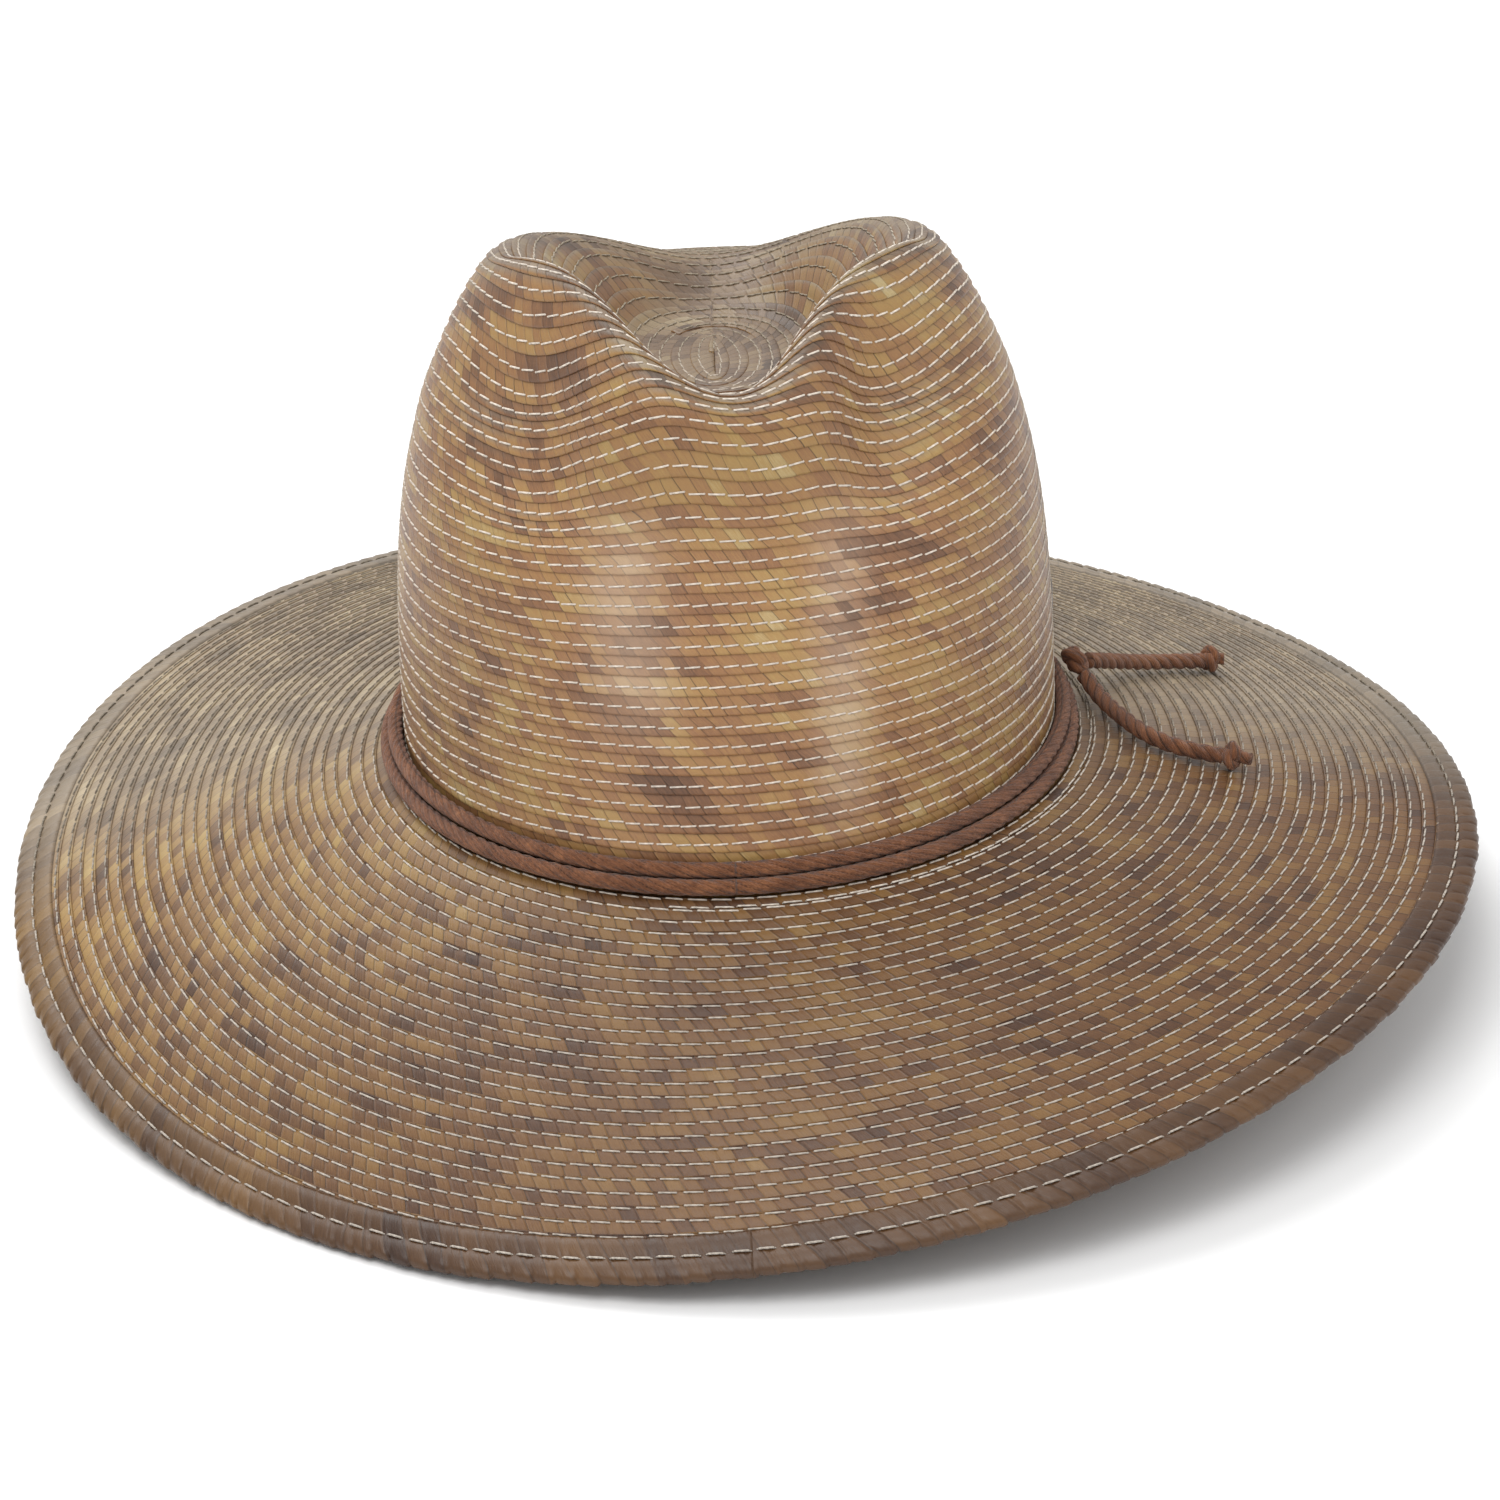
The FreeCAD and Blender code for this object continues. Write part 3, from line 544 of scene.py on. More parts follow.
brim_finish = braid_finish("palm_braid_brim", BRIM_STOPS, BRIM_STRIP, slope=-0.9, patch=20.0,
                           crack=0.10, edge_shade=0.88)
edge_finish = braid_finish("palm_braid_edge", EDGE_STOPS, EDGE_STRIP, slope=-0.8, patch=20.0,
                           crack=0.40, edge_shade=0.60)


def thread_finish(name, colour, soiled):
    """Sewing thread: two plies twisted, clean in front and soiled behind and on the brim."""
    f = Finish(name, 0.75, 0.3)
    along, around, own = f.mark("thread")
    twist = f.math("SINE", f.plus(f.times(along, 9.0), around))
    behind = f.span(f.places()[1], -0.055, 0.02, 0.0, 1.0, True)
    base = f.blend("MIX", behind, tint(*colour), tint(*soiled))
    on_brim = f.span(f.places()[2], 0.045, 0.062, 0.66, 1.0, True)
    base = f.blend("MULTIPLY", 1.0, base, f.grey(on_brim))
    base = f.blend("MULTIPLY", 1.0, base, f.grey(f.span(own, 0.0, 1.0, 0.84, 1.0)))
    # Painted shade where the twisted plies meet.
    f.colour(f.blend("MULTIPLY", 1.0, base, f.grey(f.span(twist, -1.0, 1.0, 0.86, 1.0))))
    f.bumps(twist, 0.08)
    return f.material


def cord_finish(name):
    """Twisted cord: painted shade in the grooves between its lobes, with fine yarns and fibres along each
    ply.
    """
    f = Finish(name, 0.9, 0.2)
    along, around, crest = f.mark("rope")
    fibre = f.noise(f.vector(f.times(along, 0.5), f.times(around, 3.4)), 1.6, 4.0, 0.7)
    cloud = f.noise(f.place(), 160.0, 3.0, 0.6)
    tone = f.plus(f.times(fibre, 0.7), f.times(cloud, 0.3))
    colour = f.ramp(tone, [(0.34, (66, 38, 22)), (0.5, (116, 72, 46)), (0.66, (166, 112, 74))])
    # Painted shade in the grooves between the lobes.
    shade = f.span(crest, 0.0, 0.55, 0.22, 1.0, True)
    f.colour(f.blend("MULTIPLY", 1.0, colour, f.grey(shade)))
    yarn = f.math("SINE", f.times(around, 7.0))
    f.bumps(f.plus(fibre, f.times(yarn, 0.12)), 0.4)
    f.shader.inputs["Sheen Weight"].default_value = 0.2
    f.shader.inputs["Sheen Roughness"].default_value = 0.5
    return f.material


def leather_finish(name, dark, light):
    """Leather with a fine grain and a cloudy tone."""
    f = Finish(name, 0.5, 0.45)
    place = f.place()
    grain = f.node("TexVoronoi")
    f.feed(grain.inputs["Vector"], place)
    grain.inputs["Scale"].default_value = 1400.0
    cloud = f.noise(place, 60.0, 4.0, 0.6)
    f.colour(f.ramp(cloud, [(0.3, dark), (0.7, light)]))
    f.roughness(f.span(cloud, 0.3, 0.7, 0.42, 0.62))
    f.bumps(grain.outputs["Distance"], 0.12)
    return f.material


def woven_finish(name, dark, light, pitch_mm):
    """A small plain weave over the mark of a cloth patch."""
    f = Finish(name, 0.85, 0.2)
    along, across, _ = f.mark("cloth")
    warp = f.math("SINE", f.times(along, TAU / pitch_mm))
    weft = f.math("SINE", f.times(across, TAU / pitch_mm))
    weave = f.span(f.times(warp, weft), -1.0, 1.0)
    f.colour(f.ramp(weave, [(0.0, dark), (1.0, light)]))
    f.bumps(weave, 0.12)
    return f.material


def metal_finish(name, colour, roughness):
    """Metal with small scratches."""
    f = Finish(name, roughness, 0.5)
    scratch = f.noise(f.place(), 900.0, 3.0, 0.6)
    f.shader.inputs["Metallic"].default_value = 1.0
    f.colour(f.blend("MULTIPLY", 0.35, tint(*colour), f.grey(scratch)))
    f.roughness(f.span(scratch, 0.2, 0.8, roughness - 0.08, roughness + 0.1))
    return f.material


thread = thread_finish("stitching_thread", (228, 216, 202), (160, 148, 130))
cord_look = cord_finish("twisted_cord")


# ------------------------ braid wound round the hat


def along_spiral(face, start_turn, end_turn, edge_run, pitch, step):
    """Angles, edge runs and distances, evenly spaced along a braid that winds round the hat."""
    turns = np.linspace(start_turn, end_turn, int((end_turn - start_turn) * 480) + 2)
    angles = math.pi + TAU * turns
    edges = edge_run + pitch * turns
    distance = distances(face(angles, np.maximum(edges + 0.5 * pitch, 0.3)))
    even = np.linspace(0.0, distance[-1], int(distance[-1] / step) + 2)
    return np.interp(even, distance, turns), even


def wound_braid(name, face, facing, turns, distance, spec, finish, replaced):
    """A closed ribbon of braid, wound in a spiral so that each row laps its neighbour."""
    angles = math.pi + TAU * turns
    edges = spec["first"] + spec["pitch"] * turns
    section = spec["section"]
    across = section[:, 0] * spec["pitch"]
    runs = np.clip(edges[:, None] + across[None], spec["low"], spec["high"])
    where = np.broadcast_to(angles[:, None], runs.shape)
    lifts = np.broadcast_to(section[:, 1][None], runs.shape).copy()
    on_face = section[:, 2] > 0.5
    ripple = 0.05 * np.sin(TAU * (distance[:, None] + across[None] * spec["slope"]) / spec["strip"])
    lifts += np.where(on_face[None], ripple, 0.0)
    points = face(where, runs) + face_normal(face, where, runs, facing) * lifts[..., None]
    marks = np.zeros((*runs.shape, 3))
    marks[..., 0] = distance[:, None]
    marks[..., 1] = across[None]
    marks[..., 2] = np.floor(turns)[:, None]
    rows, columns = runs.shape
    quads = grid_faces(rows, columns)
    if facing < 0:
        quads = quads[:, ::-1]
    obj = mesh_object(name, points, quads, finish, {"braid": marks})
    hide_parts(replaced)


def stitches(name, face, facing, turns, distance, spec, side=1.0):
    """Lock-stitching along a wound braid. side is 1 for its face and -1 for its back."""
    period, gap = spec["stitch"], spec["stitch_gap"]
    middles = np.arange(3.0, distance[-1] - 3.0, period)
    middles = middles + chance.normal(0.0, 0.12, len(middles))
    half = 0.5 * (period - gap) * chance.uniform(0.92, 1.05, len(middles))
    shares = np.array([-1.0, -0.84, 0.84, 1.0])
    dips = np.array([-0.34, 0.22, 0.24, -0.34])
    at = np.interp(middles[:, None] + half[:, None] * shares, distance, turns)
    angles = math.pi + TAU * at
    sway = chance.normal(0.0, 0.10, len(middles))[:, None]
    line = spec["stitch_at"] * spec["pitch"] + sway + spec["stitch_lean"] * shares
    runs = np.clip(spec["first"] + spec["pitch"] * at + line, spec["low"], spec["high"])
    out = face_normal(face, angles, runs, facing)
    level = spec["stitch_level"] if side > 0 else spec["back_level"]
    centres = face(angles, runs) + out * (level + side * dips)[..., None]
    surface_stitches(name, centres, out, [0.16, 0.25, 0.25, 0.16], 6 if side > 0 else 4)


def lapped_section(thickness, stitch_at, free_lift, tucked):
    """Across one row: share of the pitch, height of the face or back, and 1 on the face.

    The face falls from free_lift at the row's free edge to tucked below zero, one pitch on.
    """
    face = []
    for share in (0.0, 0.04, 0.14, stitch_at - 0.10, stitch_at - 0.035, stitch_at + 0.035,
                  stitch_at + 0.10, 0.5 * (stitch_at + 1.1), 0.95, 1.25):
        slope = free_lift - (free_lift + tucked) * share
        puff = 0.10 * math.sin(math.pi * min(share / stitch_at, 1.0))
        puff += 0.08 * math.sin(math.pi * min(max((share - stitch_at) / (1.0 - stitch_at), 0), 1))
        valley = 0.10 * math.exp(-((share - stitch_at) / 0.05) ** 2)
        edge = {0.0: 0.16, 0.04: 0.03}.get(share, 0.0)
        face.append((share, slope + puff - valley - edge, 1.0))
    back = []
    for share in (1.25, 0.95, 0.45, 0.0):
        slope = free_lift - (free_lift + tucked) * share
        back.append((share, slope - thickness, 0.0))
    return np.array(face + back)


# For each braid: the rows' pitch, where they start and the runs that they keep between, the lean and
# width of the strips, and the length, gap, place across, lean and level of the stitches.
CROWN = {
    "pitch": 5.03, "first": 5.215, "low": 0.3, "high": TIP_RUN, "slope": 1.0, "strip": CROWN_STRIP,
    "section": lapped_section(thickness=0.48, stitch_at=0.44, free_lift=0.07, tucked=0.38),
    "stitch": 4.6, "stitch_gap": 0.4, "stitch_at": 0.44, "stitch_lean": 0.14, "stitch_level": -0.28,
}
crown_turns, crown_distance = along_spiral(
    crown_point, -1.0, (TIP_RUN - CROWN["first"]) / CROWN["pitch"] - 0.6, CROWN["first"], CROWN["pitch"], 1.0
)
wound_braid("crown_braid_rows", crown_point, 1.0, crown_turns, crown_distance, CROWN, crown_finish,
            "crown_braid")
stitches("crown_stitching", crown_point, 1.0, crown_turns, crown_distance, CROWN)

TIP = dict(CROWN, first=-5.5, low=-4.0, high=TIP_INSET - 0.05, stitch_level=-0.34,
           section=lapped_section(thickness=0.34, stitch_at=0.44, free_lift=0.03, tucked=0.20))
tip_turns, tip_distance = along_spiral(tip_point, 0.0, 3.2, TIP["first"], TIP["pitch"], 1.0)
wound_braid("crown_tip_coil", tip_point, 1.0, tip_turns, tip_distance, TIP, crown_finish, "crown_tip")
stitches("crown_tip_stitching", tip_point, 1.0, tip_turns, tip_distance, TIP)

BRIM_PITCH = 3.66
BRIM_END = BRIM_RUN - EDGE_WIDTH + 1.2
BRIM = {
    "pitch": BRIM_PITCH, "first": 9.8 - 0.2 * BRIM_PITCH - 0.5 * BRIM_PITCH,
    "low": -1.8, "high": BRIM_END, "slope": -0.9, "strip": BRIM_STRIP,
    "section": lapped_section(thickness=0.50, stitch_at=0.20, free_lift=0.08, tucked=0.40),
    "stitch": 5.7, "stitch_gap": 0.6, "stitch_at": 0.20, "stitch_lean": 0.12,
    "stitch_level": -0.16, "back_level": -0.70,
}
brim_turns, brim_distance = along_spiral(
    brim_point, -3.0, (BRIM_END - BRIM["first"]) / BRIM_PITCH - 0.2, BRIM["first"], BRIM_PITCH, 1.1
)
wound_braid("brim_braid_rows", brim_point, -1.0, brim_turns, brim_distance, BRIM, brim_finish,
            "brim_braid")
stitches("brim_stitching", brim_point, -1.0, brim_turns, brim_distance, BRIM)
# A second line of stitches on the innermost rows, from the front round to the wearer's left.
doubled = (brim_turns > 0.47) & (brim_turns < 0.84)
stitches("brim_stitching_doubled", brim_point, -1.0, brim_turns[doubled],
         brim_distance[doubled] - brim_distance[doubled][0], dict(BRIM, stitch_at=-0.08))
stitches("brim_stitching_under", brim_point, -1.0, brim_turns, brim_distance, BRIM, side=-1.0)


EDGE_STEP, EDGE_SLANT, EDGE_STITCH = 0.55, 0.55, 5.7
# The groove that the edge's stitches lie in, from the braid's inner edge.
EDGE_GROOVE = 5.6


def around_rim():
    """Angles and distances, evenly spaced once round the rim, and the way round."""
    angles = np.linspace(0.0, TAU, 4001)
    distance = distances(brim_point(angles, np.full_like(angles, BRIM_RUN)))
    count = int(distance[-1] / EDGE_STEP)
    even = np.arange(count) * distance[-1] / count
    return np.interp(even, distance, angles), even, distance[-1]


def edge_braid():
    """The wider braid folded over the rim, with slanted slits and one row of stitches."""
    angles, distance, whole = around_rim()
    cells = round(whole / EDGE_STRIP)
    strip = whole / cells
    width = EDGE_WIDTH
    profile = [
        (0.0, -0.9), (0.15, 0.15), (0.9, 0.62), (2.6, 0.75), (4.3, 0.62), (5.1, 0.30),
        (EDGE_GROOVE, 0.22), (6.1, 0.30), (6.9, 0.66), (8.6, 0.72), (10.0, 0.50), (10.9, 0.05),
        (width, -0.75), (11.2, -1.8), (10.4, -2.5), (8.4, -2.75), (EDGE_GROOVE, -2.45), (2.8, -2.7),
        (0.8, -2.5), (0.0, -1.9),
    ]
    across, lift = np.array(profile).T
    place = (distance[:, None] - EDGE_SLANT * across[None]) / strip
    part = place - np.floor(place)
    slit = np.exp(-(np.minimum(part, 1.0 - part) / 0.09) ** 2)
    upper = lift[None] > -1.0
    outer = ease(6.5, 9.5, across)[None]
    lifts = lift[None] - np.where(upper, 0.45, -0.30) * slit * (0.35 + 0.65 * outer)
    lifts = lifts + np.where(upper, 0.22, -0.10) * (part - 0.5)
    saw = (0.30 * (part - 0.5) - 0.22 * slit) * ease(9.0, width, across)[None]
    ends = chance.uniform(-0.25, 0.25, cells)
    saw = saw + ends[np.floor(place).astype(int) % cells] * ease(9.5, width, across)[None]
    runs = BRIM_RUN - width + across[None] + saw
    where = np.broadcast_to(angles[:, None], runs.shape)
    out = face_normal(brim_point, where, runs, -1.0)
    points = brim_point(where, runs) + out * lifts[..., None]
    marks = np.zeros((*runs.shape, 3))
    marks[..., 0] = distance[:, None] * (EDGE_STRIP / strip)
    marks[..., 1] = across[None]
    quads = grid_faces(len(angles), len(profile), close_rows=True)
    obj = mesh_object("edge_braid_band", points, quads, edge_finish, {"braid": marks})
    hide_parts("edge_braid")
    for side in (1.0, -1.0):
        rim_stitches(side, whole)


def rim_stitches(side, whole):
    """The edge's stitches, on its face (side 1) or on its back (side -1)."""
    count = round(whole / EDGE_STITCH)
    middles = (np.arange(count) + 0.5) * whole / count + chance.normal(0.0, 0.15, count)
    shares = np.array([-1.0, -0.62, 0.62, 1.0])
    spots = middles[:, None] + 2.4 * shares
    angles, distance, _ = around_rim()
    at = np.interp(spots, np.append(distance, whole), np.append(angles, TAU))
    runs = BRIM_RUN - EDGE_WIDTH + EDGE_GROOVE + chance.normal(0.0, 0.08, (count, 1)) + 0.1 * shares
    out = face_normal(brim_point, at, runs, -1.0)
    level = 0.42 if side > 0 else -2.62
    dips = np.array([-0.34, 0.16, 0.16, -0.34])
    centres = brim_point(at, runs) + out * (level + side * dips)[..., None]
    name = "edge_stitching" if side > 0 else "edge_stitching_under"
    surface_stitches(name, centres, out, [0.17, 0.28, 0.28, 0.17], 6)


edge_braid()

# ------------------------ cord

ROPE_STEP, ROPE_SIDES = 0.5, 24


def carried_frames(line, closed):
    """Two directions square to a line at each of its points, turned as little as possible."""
    if closed:
        ahead = np.roll(line, -1, axis=0) - np.roll(line, 1, axis=0)
    else:
        ahead = np.gradient(line, axis=0)
    ahead = unit(ahead)
    current = np.array([0.0, 0.0, 1.0]) if abs(ahead[0][2]) < 0.9 else np.array([1.0, 0.0, 0.0])
    sides = []
    for direction in ahead:
        current = unit(current - direction * current.dot(direction))
        sides.append(current)
    sides = np.array(sides)
    ups = np.cross(ahead, sides)
    if closed:
        # Share out the turn that is left over where the line closes.
        left = math.atan2(float(sides[-1].dot(ups[0])), float(sides[-1].dot(sides[0])))
        turn = -left * np.linspace(0.0, 1.0, len(line))[:, None]
        sides, ups = (
            sides * np.cos(turn) + ups * np.sin(turn),
            ups * np.cos(turn) - sides * np.sin(turn),
        )
    return sides, ups


def resampled(line, closed):
    """Evenly spaced points along a line, their distances, and the line's length."""
    if closed:
        line = np.vstack([line, line[:1]])
    distance = distances(line)
    count = max(4, int(distance[-1] / ROPE_STEP))
    even = np.linspace(0.0, distance[-1], count, endpoint=not closed)
    return np.stack([np.interp(even, distance, line[:, k]) for k in range(3)], axis=1), even, distance[-1]


def rope_points(line, distance, whole, radius, lay, closed, plies, groove):
    """Plies twisted round a line: points, and marks for the material."""
    sides, ups = carried_frames(line, closed)
    turn = np.arange(ROPE_SIDES) / ROPE_SIDES * TAU
    lays = max(1, round(whole / lay)) if closed else whole / lay
    phase = TAU * lays * distance / whole
    ply = 0.5 * plies * (turn[None] - phase[:, None])
    crest = np.abs(np.cos(ply)) ** 0.7
    reach = radius * (1.0 - groove + groove * crest)
    ring = sides[:, None] * np.cos(turn)[None, :, None] + ups[:, None] * np.sin(turn)[None, :, None]
    points = line[:, None] + ring * reach[..., None]
    marks = np.zeros((*reach.shape, 3))
    marks[..., 0] = distance[:, None]
    marks[..., 1] = (turn[None] - phase[:, None]) * radius
    marks[..., 2] = crest
    return points, marks


def rope(name, line, radius, lay, closed, replaced=None, plies=3, groove=0.26):
    """Twisted cord along a line. lay is the length of one twist, and groove its depth over the radius."""
    line, distance, whole = resampled(np.asarray(line), closed)
    points, marks = rope_points(line, distance, whole, radius, lay, closed, plies, groove)
    quads = grid_faces(len(line), points.shape[1], close_rows=closed)
    obj = mesh_object(name, points, quads, cord_look, {"rope": marks})
    if replaced:
        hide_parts(replaced)
    return obj


CORD_RADIUS, WRAP_RADIUS = 2.25, 2.06
# Distance from the crown and height of each turn: their means, and their swings from back to front.
WRAPS = {"lower": (4.4, 1.1, 1.95, -0.75), "upper": (2.4, 0.0, 5.87, -1.6)}


def hatband_turn(name, outside, outside_swing, height, height_swing):
    """One turn of cord round the crown's foot, a little uneven."""
    angles = np.linspace(0.0, TAU, 720, endpoint=False)
    wobble = 0.10 * np.sin(5.0 * angles + outside) + 0.08 * np.sin(9.0 * angles + 2.0 * height)
    x, y = foot_oval(angles, outside + outside_swing * np.cos(angles) + wobble)
    line = np.stack([x, y, height + height_swing * np.cos(angles) + 0.6 * wobble], axis=1)
    rope(f"band_cord_{name}", line, WRAP_RADIUS, lay=25.0, closed=True, replaced=f"band_wrap_{name}",
         plies=6, groove=0.24)


for wrap_name, wrap_place in WRAPS.items():
    hatband_turn(wrap_name, *wrap_place)


def knot_line(centre, axis, ahead, reach):
    """A closed overhand knot round an axis."""
    t = np.linspace(0.0, TAU, 240, endpoint=False)
    k = reach / 3.0
    flat = np.stack([(2.0 + np.cos(3.0 * t)) * np.cos(2.0 * t), (2.0 + np.cos(3.0 * t)) * np.sin(2.0 * t),
                     1.15 * np.sin(3.0 * t)], axis=1) * k
    axis = unit(np.array(axis))
    first = unit(np.array(ahead) - axis * np.dot(ahead, axis))
    second = np.cross(axis, first)
    return np.array(centre) + flat[:, :1] * first + flat[:, 1:2] * second + flat[:, 2:] * axis


KNOT_CENTRE = (93.4, 12.0, 8.4)
rope("band_knot_cord", knot_line(KNOT_CENTRE, axis=(0.8, 0.2, 0.5), ahead=(0.0, 1.0, 0.0), reach=3.0),
     radius=1.75, lay=14.0, closed=True, replaced="band_knot")

# The free ends' control points lie on the CAD tails or within 4 mm of them.
TAILS = {
    "upper": [(97.2, 16.5, 6.4), (104.9, 27.0, 1.6), (114.8, 36.5, -3.0), (124.0, 42.6, -5.6),
              (132.5, 46.8, -7.5)],
    "lower": [(95.4, 7.8, 5.8), (97.7, 3.4, 2.8), (100.7, -3.4, 1.3), (105.0, -12.5, 0.0),
              (110.2, -20.2, -1.3), (118.6, -25.0, -3.1), (127.9, -25.8, -4.9)],
}


def smooth_line(points):
    """The line of a NURBS spline with these control points, in millimetres."""
    curve = bpy.data.curves.new("route", "CURVE")
    curve.dimensions = "3D"
    curve.resolution_u = 16
    spline = curve.splines.new("NURBS")
    spline.points.add(len(points) - 1)
    for point, place in zip(spline.points, points):
        point.co = (*place, 1.0)
    spline.order_u = 3
    spline.use_endpoint_u = True
    obj = bpy.data.objects.new("route", curve)
    bpy.context.scene.collection.objects.link(obj)
    bpy.context.view_layer.update()
    mesh = bpy.data.meshes.new_from_object(obj)
    line = np.array([v.co[:] for v in mesh.vertices])
    bpy.data.objects.remove(obj)
    bpy.data.curves.remove(curve)
    bpy.data.meshes.remove(mesh)
    return line


def tail(name, points):
    """A free end of the cord, its end knot, and the short stub beyond the knot."""
    line = smooth_line(points)
    obj = rope(f"tail_cord_{name}", line, CORD_RADIUS, lay=12.0, closed=False, replaced=f"tail_{name}",
               groove=0.30)
    along = unit(np.array(points[-1]) - np.array(points[-2]))
    centre = np.array(points[-1]) + along * 2.6 + np.array([0.0, 0.0, 0.5])
    loop = knot_line(centre, along + np.array([0.0, -0.25, 0.1]), ahead=(0.0, 0.0, 1.0), reach=2.5)
    knot = rope(f"tail_end_{name}", loop, radius=1.55, lay=13.0, closed=True, replaced=f"tail_knot_{name}")
    bend = np.array([0.0, -0.08, 0.03])
    stub = np.array([centre + along * s + bend * s * s for s in (0.0, 1.5, 3.0, 4.6)])
    end = rope(f"tail_stub_{name}", stub, radius=1.7, lay=10.0, closed=False)


for tail_name, tail_points in TAILS.items():
    tail(tail_name, tail_points)

# ------------------------ inside the crown

BAND_HEIGHT, BAND_THICKNESS, BAND_GAP = 32.0, 1.2, 1.0


def band_face(angle, inward, height):
    """A point inwards of the sweatband's inner face."""
    back = BRAID_THICKNESS + BAND_GAP + BAND_THICKNESS + inward
    x, y = (HALF_WIDTH - back) * np.sin(angle), -(HALF_LENGTH - back) * np.cos(angle)
    return np.stack(np.broadcast_arrays(x, y, height), axis=-1)


def sweatband():
    """A leather band with rolled edges and a groove for its stitches."""
    angles = np.linspace(0.0, TAU, 480, endpoint=False)[:, None]
    section = np.array([
        (0.0, 0.4), (0.15, 0.0), (-0.5, -0.35), (-1.1, 0.0), (-1.2, 0.8), (-1.2, 16.0), (-1.2, 31.2),
        (-0.9, 31.9), (-0.3, 31.9), (0.0, 31.2), (0.0, 22.0), (0.0, 12.0), (-0.25, 3.2), (-0.45, 2.5),
        (-0.25, 1.9), (0.0, 1.4),
    ])
    inward, height = section[:, 0][None], section[:, 1][None]
    wave = 0.12 * np.sin(7.0 * angles) * (height / BAND_HEIGHT)
    points = band_face(angles, inward + wave, BAND_START + height)
    leather = leather_finish("sweatband_leather", (52, 34, 24), (84, 56, 38))
    obj = mesh_object("sweatband_leather", points, grid_faces(480, len(section), close_rows=True), leather)
    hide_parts("sweatband")


PATCH_THICKNESS, PATCH_CORNER = 0.5, 1.0
# The length along a patch that turns it by one radian round the sweatband.
PATCH_TURN = HALF_LENGTH - 8.0


def cloth_patch(name, angle, wide, low, high, inward, finish, replaced):
    """A thin patch of cloth with rounded corners that follows the sweatband's inside."""
    middle = 0.5 * (low + high)
    thick = PATCH_THICKNESS
    loops = []
    # Rings up the patch's edge, in over its face to the middle, and out again behind it.
    for grow, lift in ((0.0, 0.0), (0.0, thick), (-0.5, thick), (-2.0, thick), (-high, thick),
                       (-high, 0.0), (-2.0, 0.0)):
        half_wide = max(0.5 * wide + grow, 0.01)
        half_high = max(0.5 * (high - low) + grow, 0.01)
        corner = min(PATCH_CORNER, half_wide, half_high)
        loops.append(rounded_loop(half_wide, half_high, corner, 12, 12.0, lift))
    loops = np.array(loops)
    points = band_face(angle + loops[..., 0] / PATCH_TURN, inward + loops[..., 2], middle + loops[..., 1])
    obj = mesh_object(name, points, grid_faces(len(loops), loops.shape[1], close_rows=True), finish,
                      {"cloth": loops})
    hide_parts(replaced)
    return obj


BAND_STITCHES = 60


def band_stitches():
    """The row of stitches in the sweatband's groove."""
    middles = np.arange(BAND_STITCHES) / BAND_STITCHES * TAU
    shares = np.array([-1.0, -0.6, 0.6, 1.0])
    angles = middles[:, None] + 0.038 * shares
    inward = 0.25 + np.array([-0.4, 0.15, 0.15, -0.4])
    centres = band_face(angles, inward, BAND_START + 2.5)
    ahead = unit(np.gradient(centres, axis=1))
    ups = np.broadcast_to(np.array([0.0, 0.0, 1.0]), centres.shape)
    sides = np.cross(ups, ahead)
    obj = many_tubes("sweatband_thread", centres, sides, np.cross(ahead, sides),
                     np.array([0.2, 0.33, 0.33, 0.2]), 6)
    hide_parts("sweatband_stitches")


sweatband()
tape_cloth = woven_finish("joint_tape", (28, 20, 16), (52, 38, 30), pitch_mm=0.7)
cloth_patch("sweatband_joint_tape", math.pi, wide=9.0, low=BAND_START + 3.8, high=BAND_START + 28.2,
            inward=0.4, finish=tape_cloth, replaced="sweatband_joint")
tag_cloth = woven_finish("tag_cloth", (190, 182, 166), (226, 220, 206), pitch_mm=0.5)
tag = cloth_patch("blank_tag", math.radians(159.0), wide=20.0, low=BAND_START + 9.0,
                  high=BAND_START + 23.0, inward=0.5, finish=tag_cloth, replaced="size_tag")
band_stitches()

# ------------------------ badge

BADGE_ANGLE, BADGE_RUN, BADGE_STAND = math.radians(103.0), 26.0, 0.9
BADGE_HALF_LONG, BADGE_HALF_HIGH, BADGE_CORNER = 10.0, 6.0, 2.5


def badge():
    """A small dark enamelled plate with a raised rim, on the crown's side above the knot."""
    angle, run = np.array(BADGE_ANGLE), np.array(BADGE_RUN)
    out = face_normal(crown_point, angle, run, 1.0)
    middle = crown_point(angle, run) + out * BADGE_STAND
    across = unit(np.cross((0.0, 0.0, 1.0), out))
    up = np.cross(out, across)
    loops = []
    for inset, lift in ((3.0, 0.0), (0.5, 0.0), (0.0, 0.25), (0.0, 0.95), (0.25, 1.2), (0.8, 1.2),
                        (1.05, 1.0), (1.4, 0.95), (3.0, 1.02), (4.6, 1.06)):
        corner = max(BADGE_CORNER - inset, 0.35)
        half_long, half_high = BADGE_HALF_LONG - inset, BADGE_HALF_HIGH - inset
        loops.append(rounded_loop(half_long, half_high, corner, 10, 9.0, lift))
    loops = np.array(loops)
    points = middle + loops[..., :1] * across + loops[..., 1:2] * up + loops[..., 2:] * out
    enamel = Finish("badge_enamel", 0.28, 0.5)
    cloud = enamel.noise(enamel.place(), 500.0, 3.0, 0.6)
    enamel.colour(enamel.ramp(cloud, [(0.3, (34, 24, 20)), (0.7, (52, 36, 28))]))
    enamel.shader.inputs["Coat Weight"].default_value = 0.4
    obj = mesh_object("badge_plate_enamel", points, grid_faces(len(loops), loops.shape[1]), enamel.material)
    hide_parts("badge_plate")


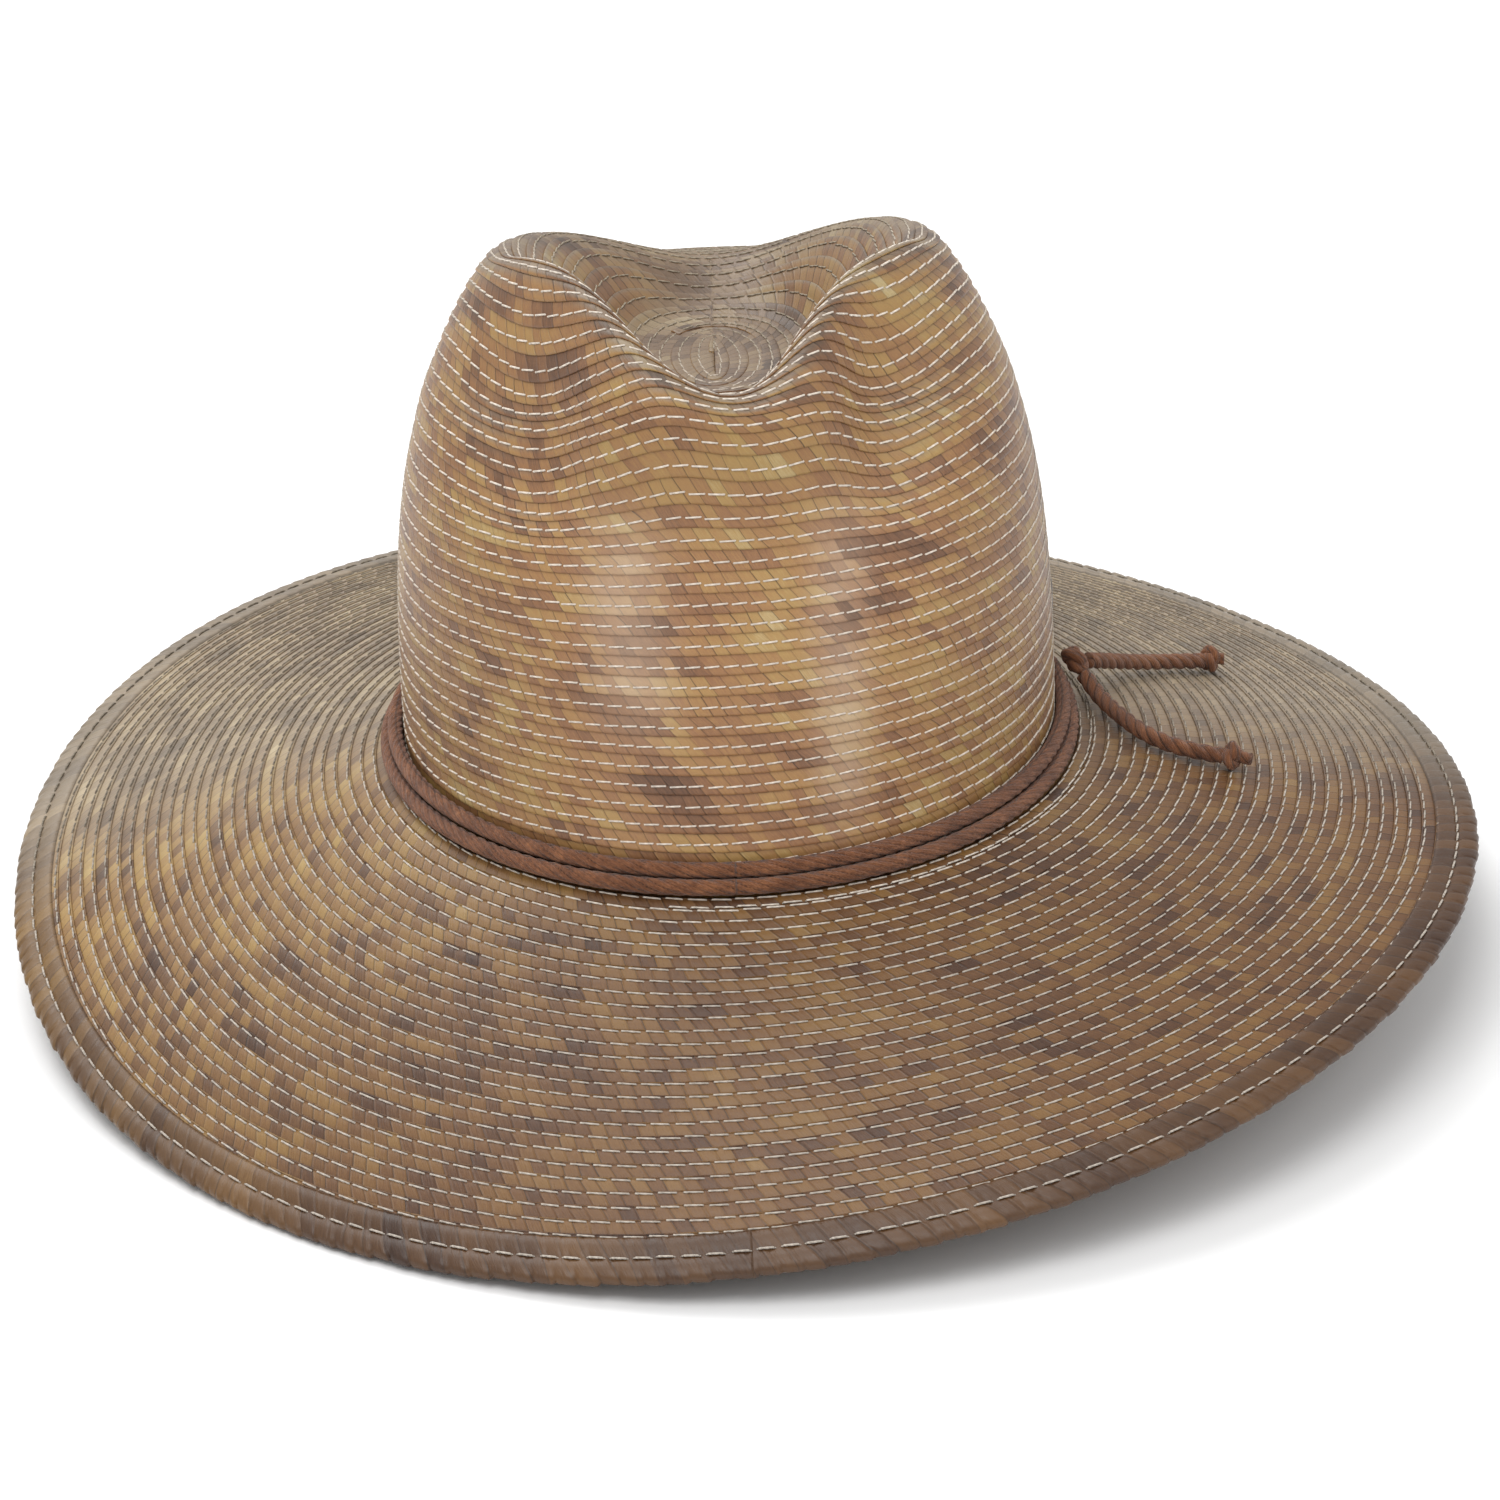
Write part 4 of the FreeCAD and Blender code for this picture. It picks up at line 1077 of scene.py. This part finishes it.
badge()
pins = frame["nodes"]["badge_pins"]
pins.data.materials.clear()
pins.data.materials.append(metal_finish("pin_metal", (188, 184, 176), 0.35))

# ------------------------ floor, light and camera

# Each soft box: its place in metres, its power and its size. All of them face the hat.
SOFTBOXES = {
    "key": ((-0.4, -1.0, 2.0), 22.0, 1.2),
    "fill": ((1.4, -0.9, 1.3), 6.0, 1.4),
    "top": ((-0.6, 0.9, 1.9), 24.0, 1.4),
}
SOFTBOX_TARGET = (0.0, 0.0, 0.1)
SKY_STRENGTH = 0.75
CAMERA_ELEVATION, CAMERA_AZIMUTH, CAMERA_ROLL = 23.222, -0.401, -2.276
CAMERA_TARGET, CAMERA_LENS, CAMERA_DISTANCE_M = (5.081, 0.0, -8.654), 88.785792, 0.98919


def floor():
    """A wide pale floor that the hat stands on."""
    mesh = bpy.data.meshes.new("floor")
    half = 6.0
    mesh.from_pydata([(-half, -half, 0), (half, -half, 0), (half, half, 0), (-half, half, 0)], [],
                     [(0, 1, 2, 3)])
    f = Finish("floor_paint", 0.9, 0.1)
    cloud = f.noise(f.place(), 3.0, 2.0, 0.5)
    f.colour(f.ramp(cloud, [(0.2, (238, 238, 238)), (0.8, (242, 242, 242))]))
    mesh.materials.append(f.material)
    obj = bpy.data.objects.new("floor", mesh)
    bpy.context.scene.collection.objects.link(obj)


def softbox(name, place, power, size):
    light = bpy.data.lights.new(name, "AREA")
    light.energy = power
    light.shape = "SQUARE"
    light.size = size
    obj = bpy.data.objects.new(name, light)
    obj.location = place
    obj.rotation_euler = (Vector(SOFTBOX_TARGET) - Vector(place)).to_track_quat("-Z", "Y").to_euler()
    bpy.context.scene.collection.objects.link(obj)


def world():
    sky = bpy.data.worlds.new("studio")
    sky.use_nodes = True
    background = sky.node_tree.nodes["Background"]
    background.inputs["Color"].default_value = (1.0, 1.0, 1.0, 1.0)
    background.inputs["Strength"].default_value = SKY_STRENGTH
    bpy.context.scene.world = sky


def camera():
    """The photograph's view: from in front, a little above, rolled slightly."""
    elevation, azimuth, roll = map(math.radians, (CAMERA_ELEVATION, CAMERA_AZIMUTH, CAMERA_ROLL))
    back = Vector((math.sin(azimuth) * math.cos(elevation), -math.cos(azimuth) * math.cos(elevation),
                   math.sin(elevation)))
    right = Vector((math.cos(azimuth), math.sin(azimuth), 0.0))
    up = back.cross(right)
    across = right * math.cos(roll) + up * math.sin(roll)
    upward = up * math.cos(roll) - right * math.sin(roll)
    turned = Matrix((across, upward, back)).transposed().to_4x4()
    turned.translation = Vector(in_row_frame(CAMERA_TARGET)) + back * CAMERA_DISTANCE_M
    data = bpy.data.cameras.new("camera")
    data.sensor_width = 36.0
    data.lens = CAMERA_LENS
    data.clip_start, data.clip_end = 0.05, 50.0
    obj = bpy.data.objects.new("camera", data)
    obj.matrix_world = turned
    bpy.context.scene.collection.objects.link(obj)
    bpy.context.scene.camera = obj


floor()
world()
for softbox_name, softbox_setting in SOFTBOXES.items():
    softbox(softbox_name, *softbox_setting)
camera()
bpy.context.scene.view_settings.view_transform = "Standard"
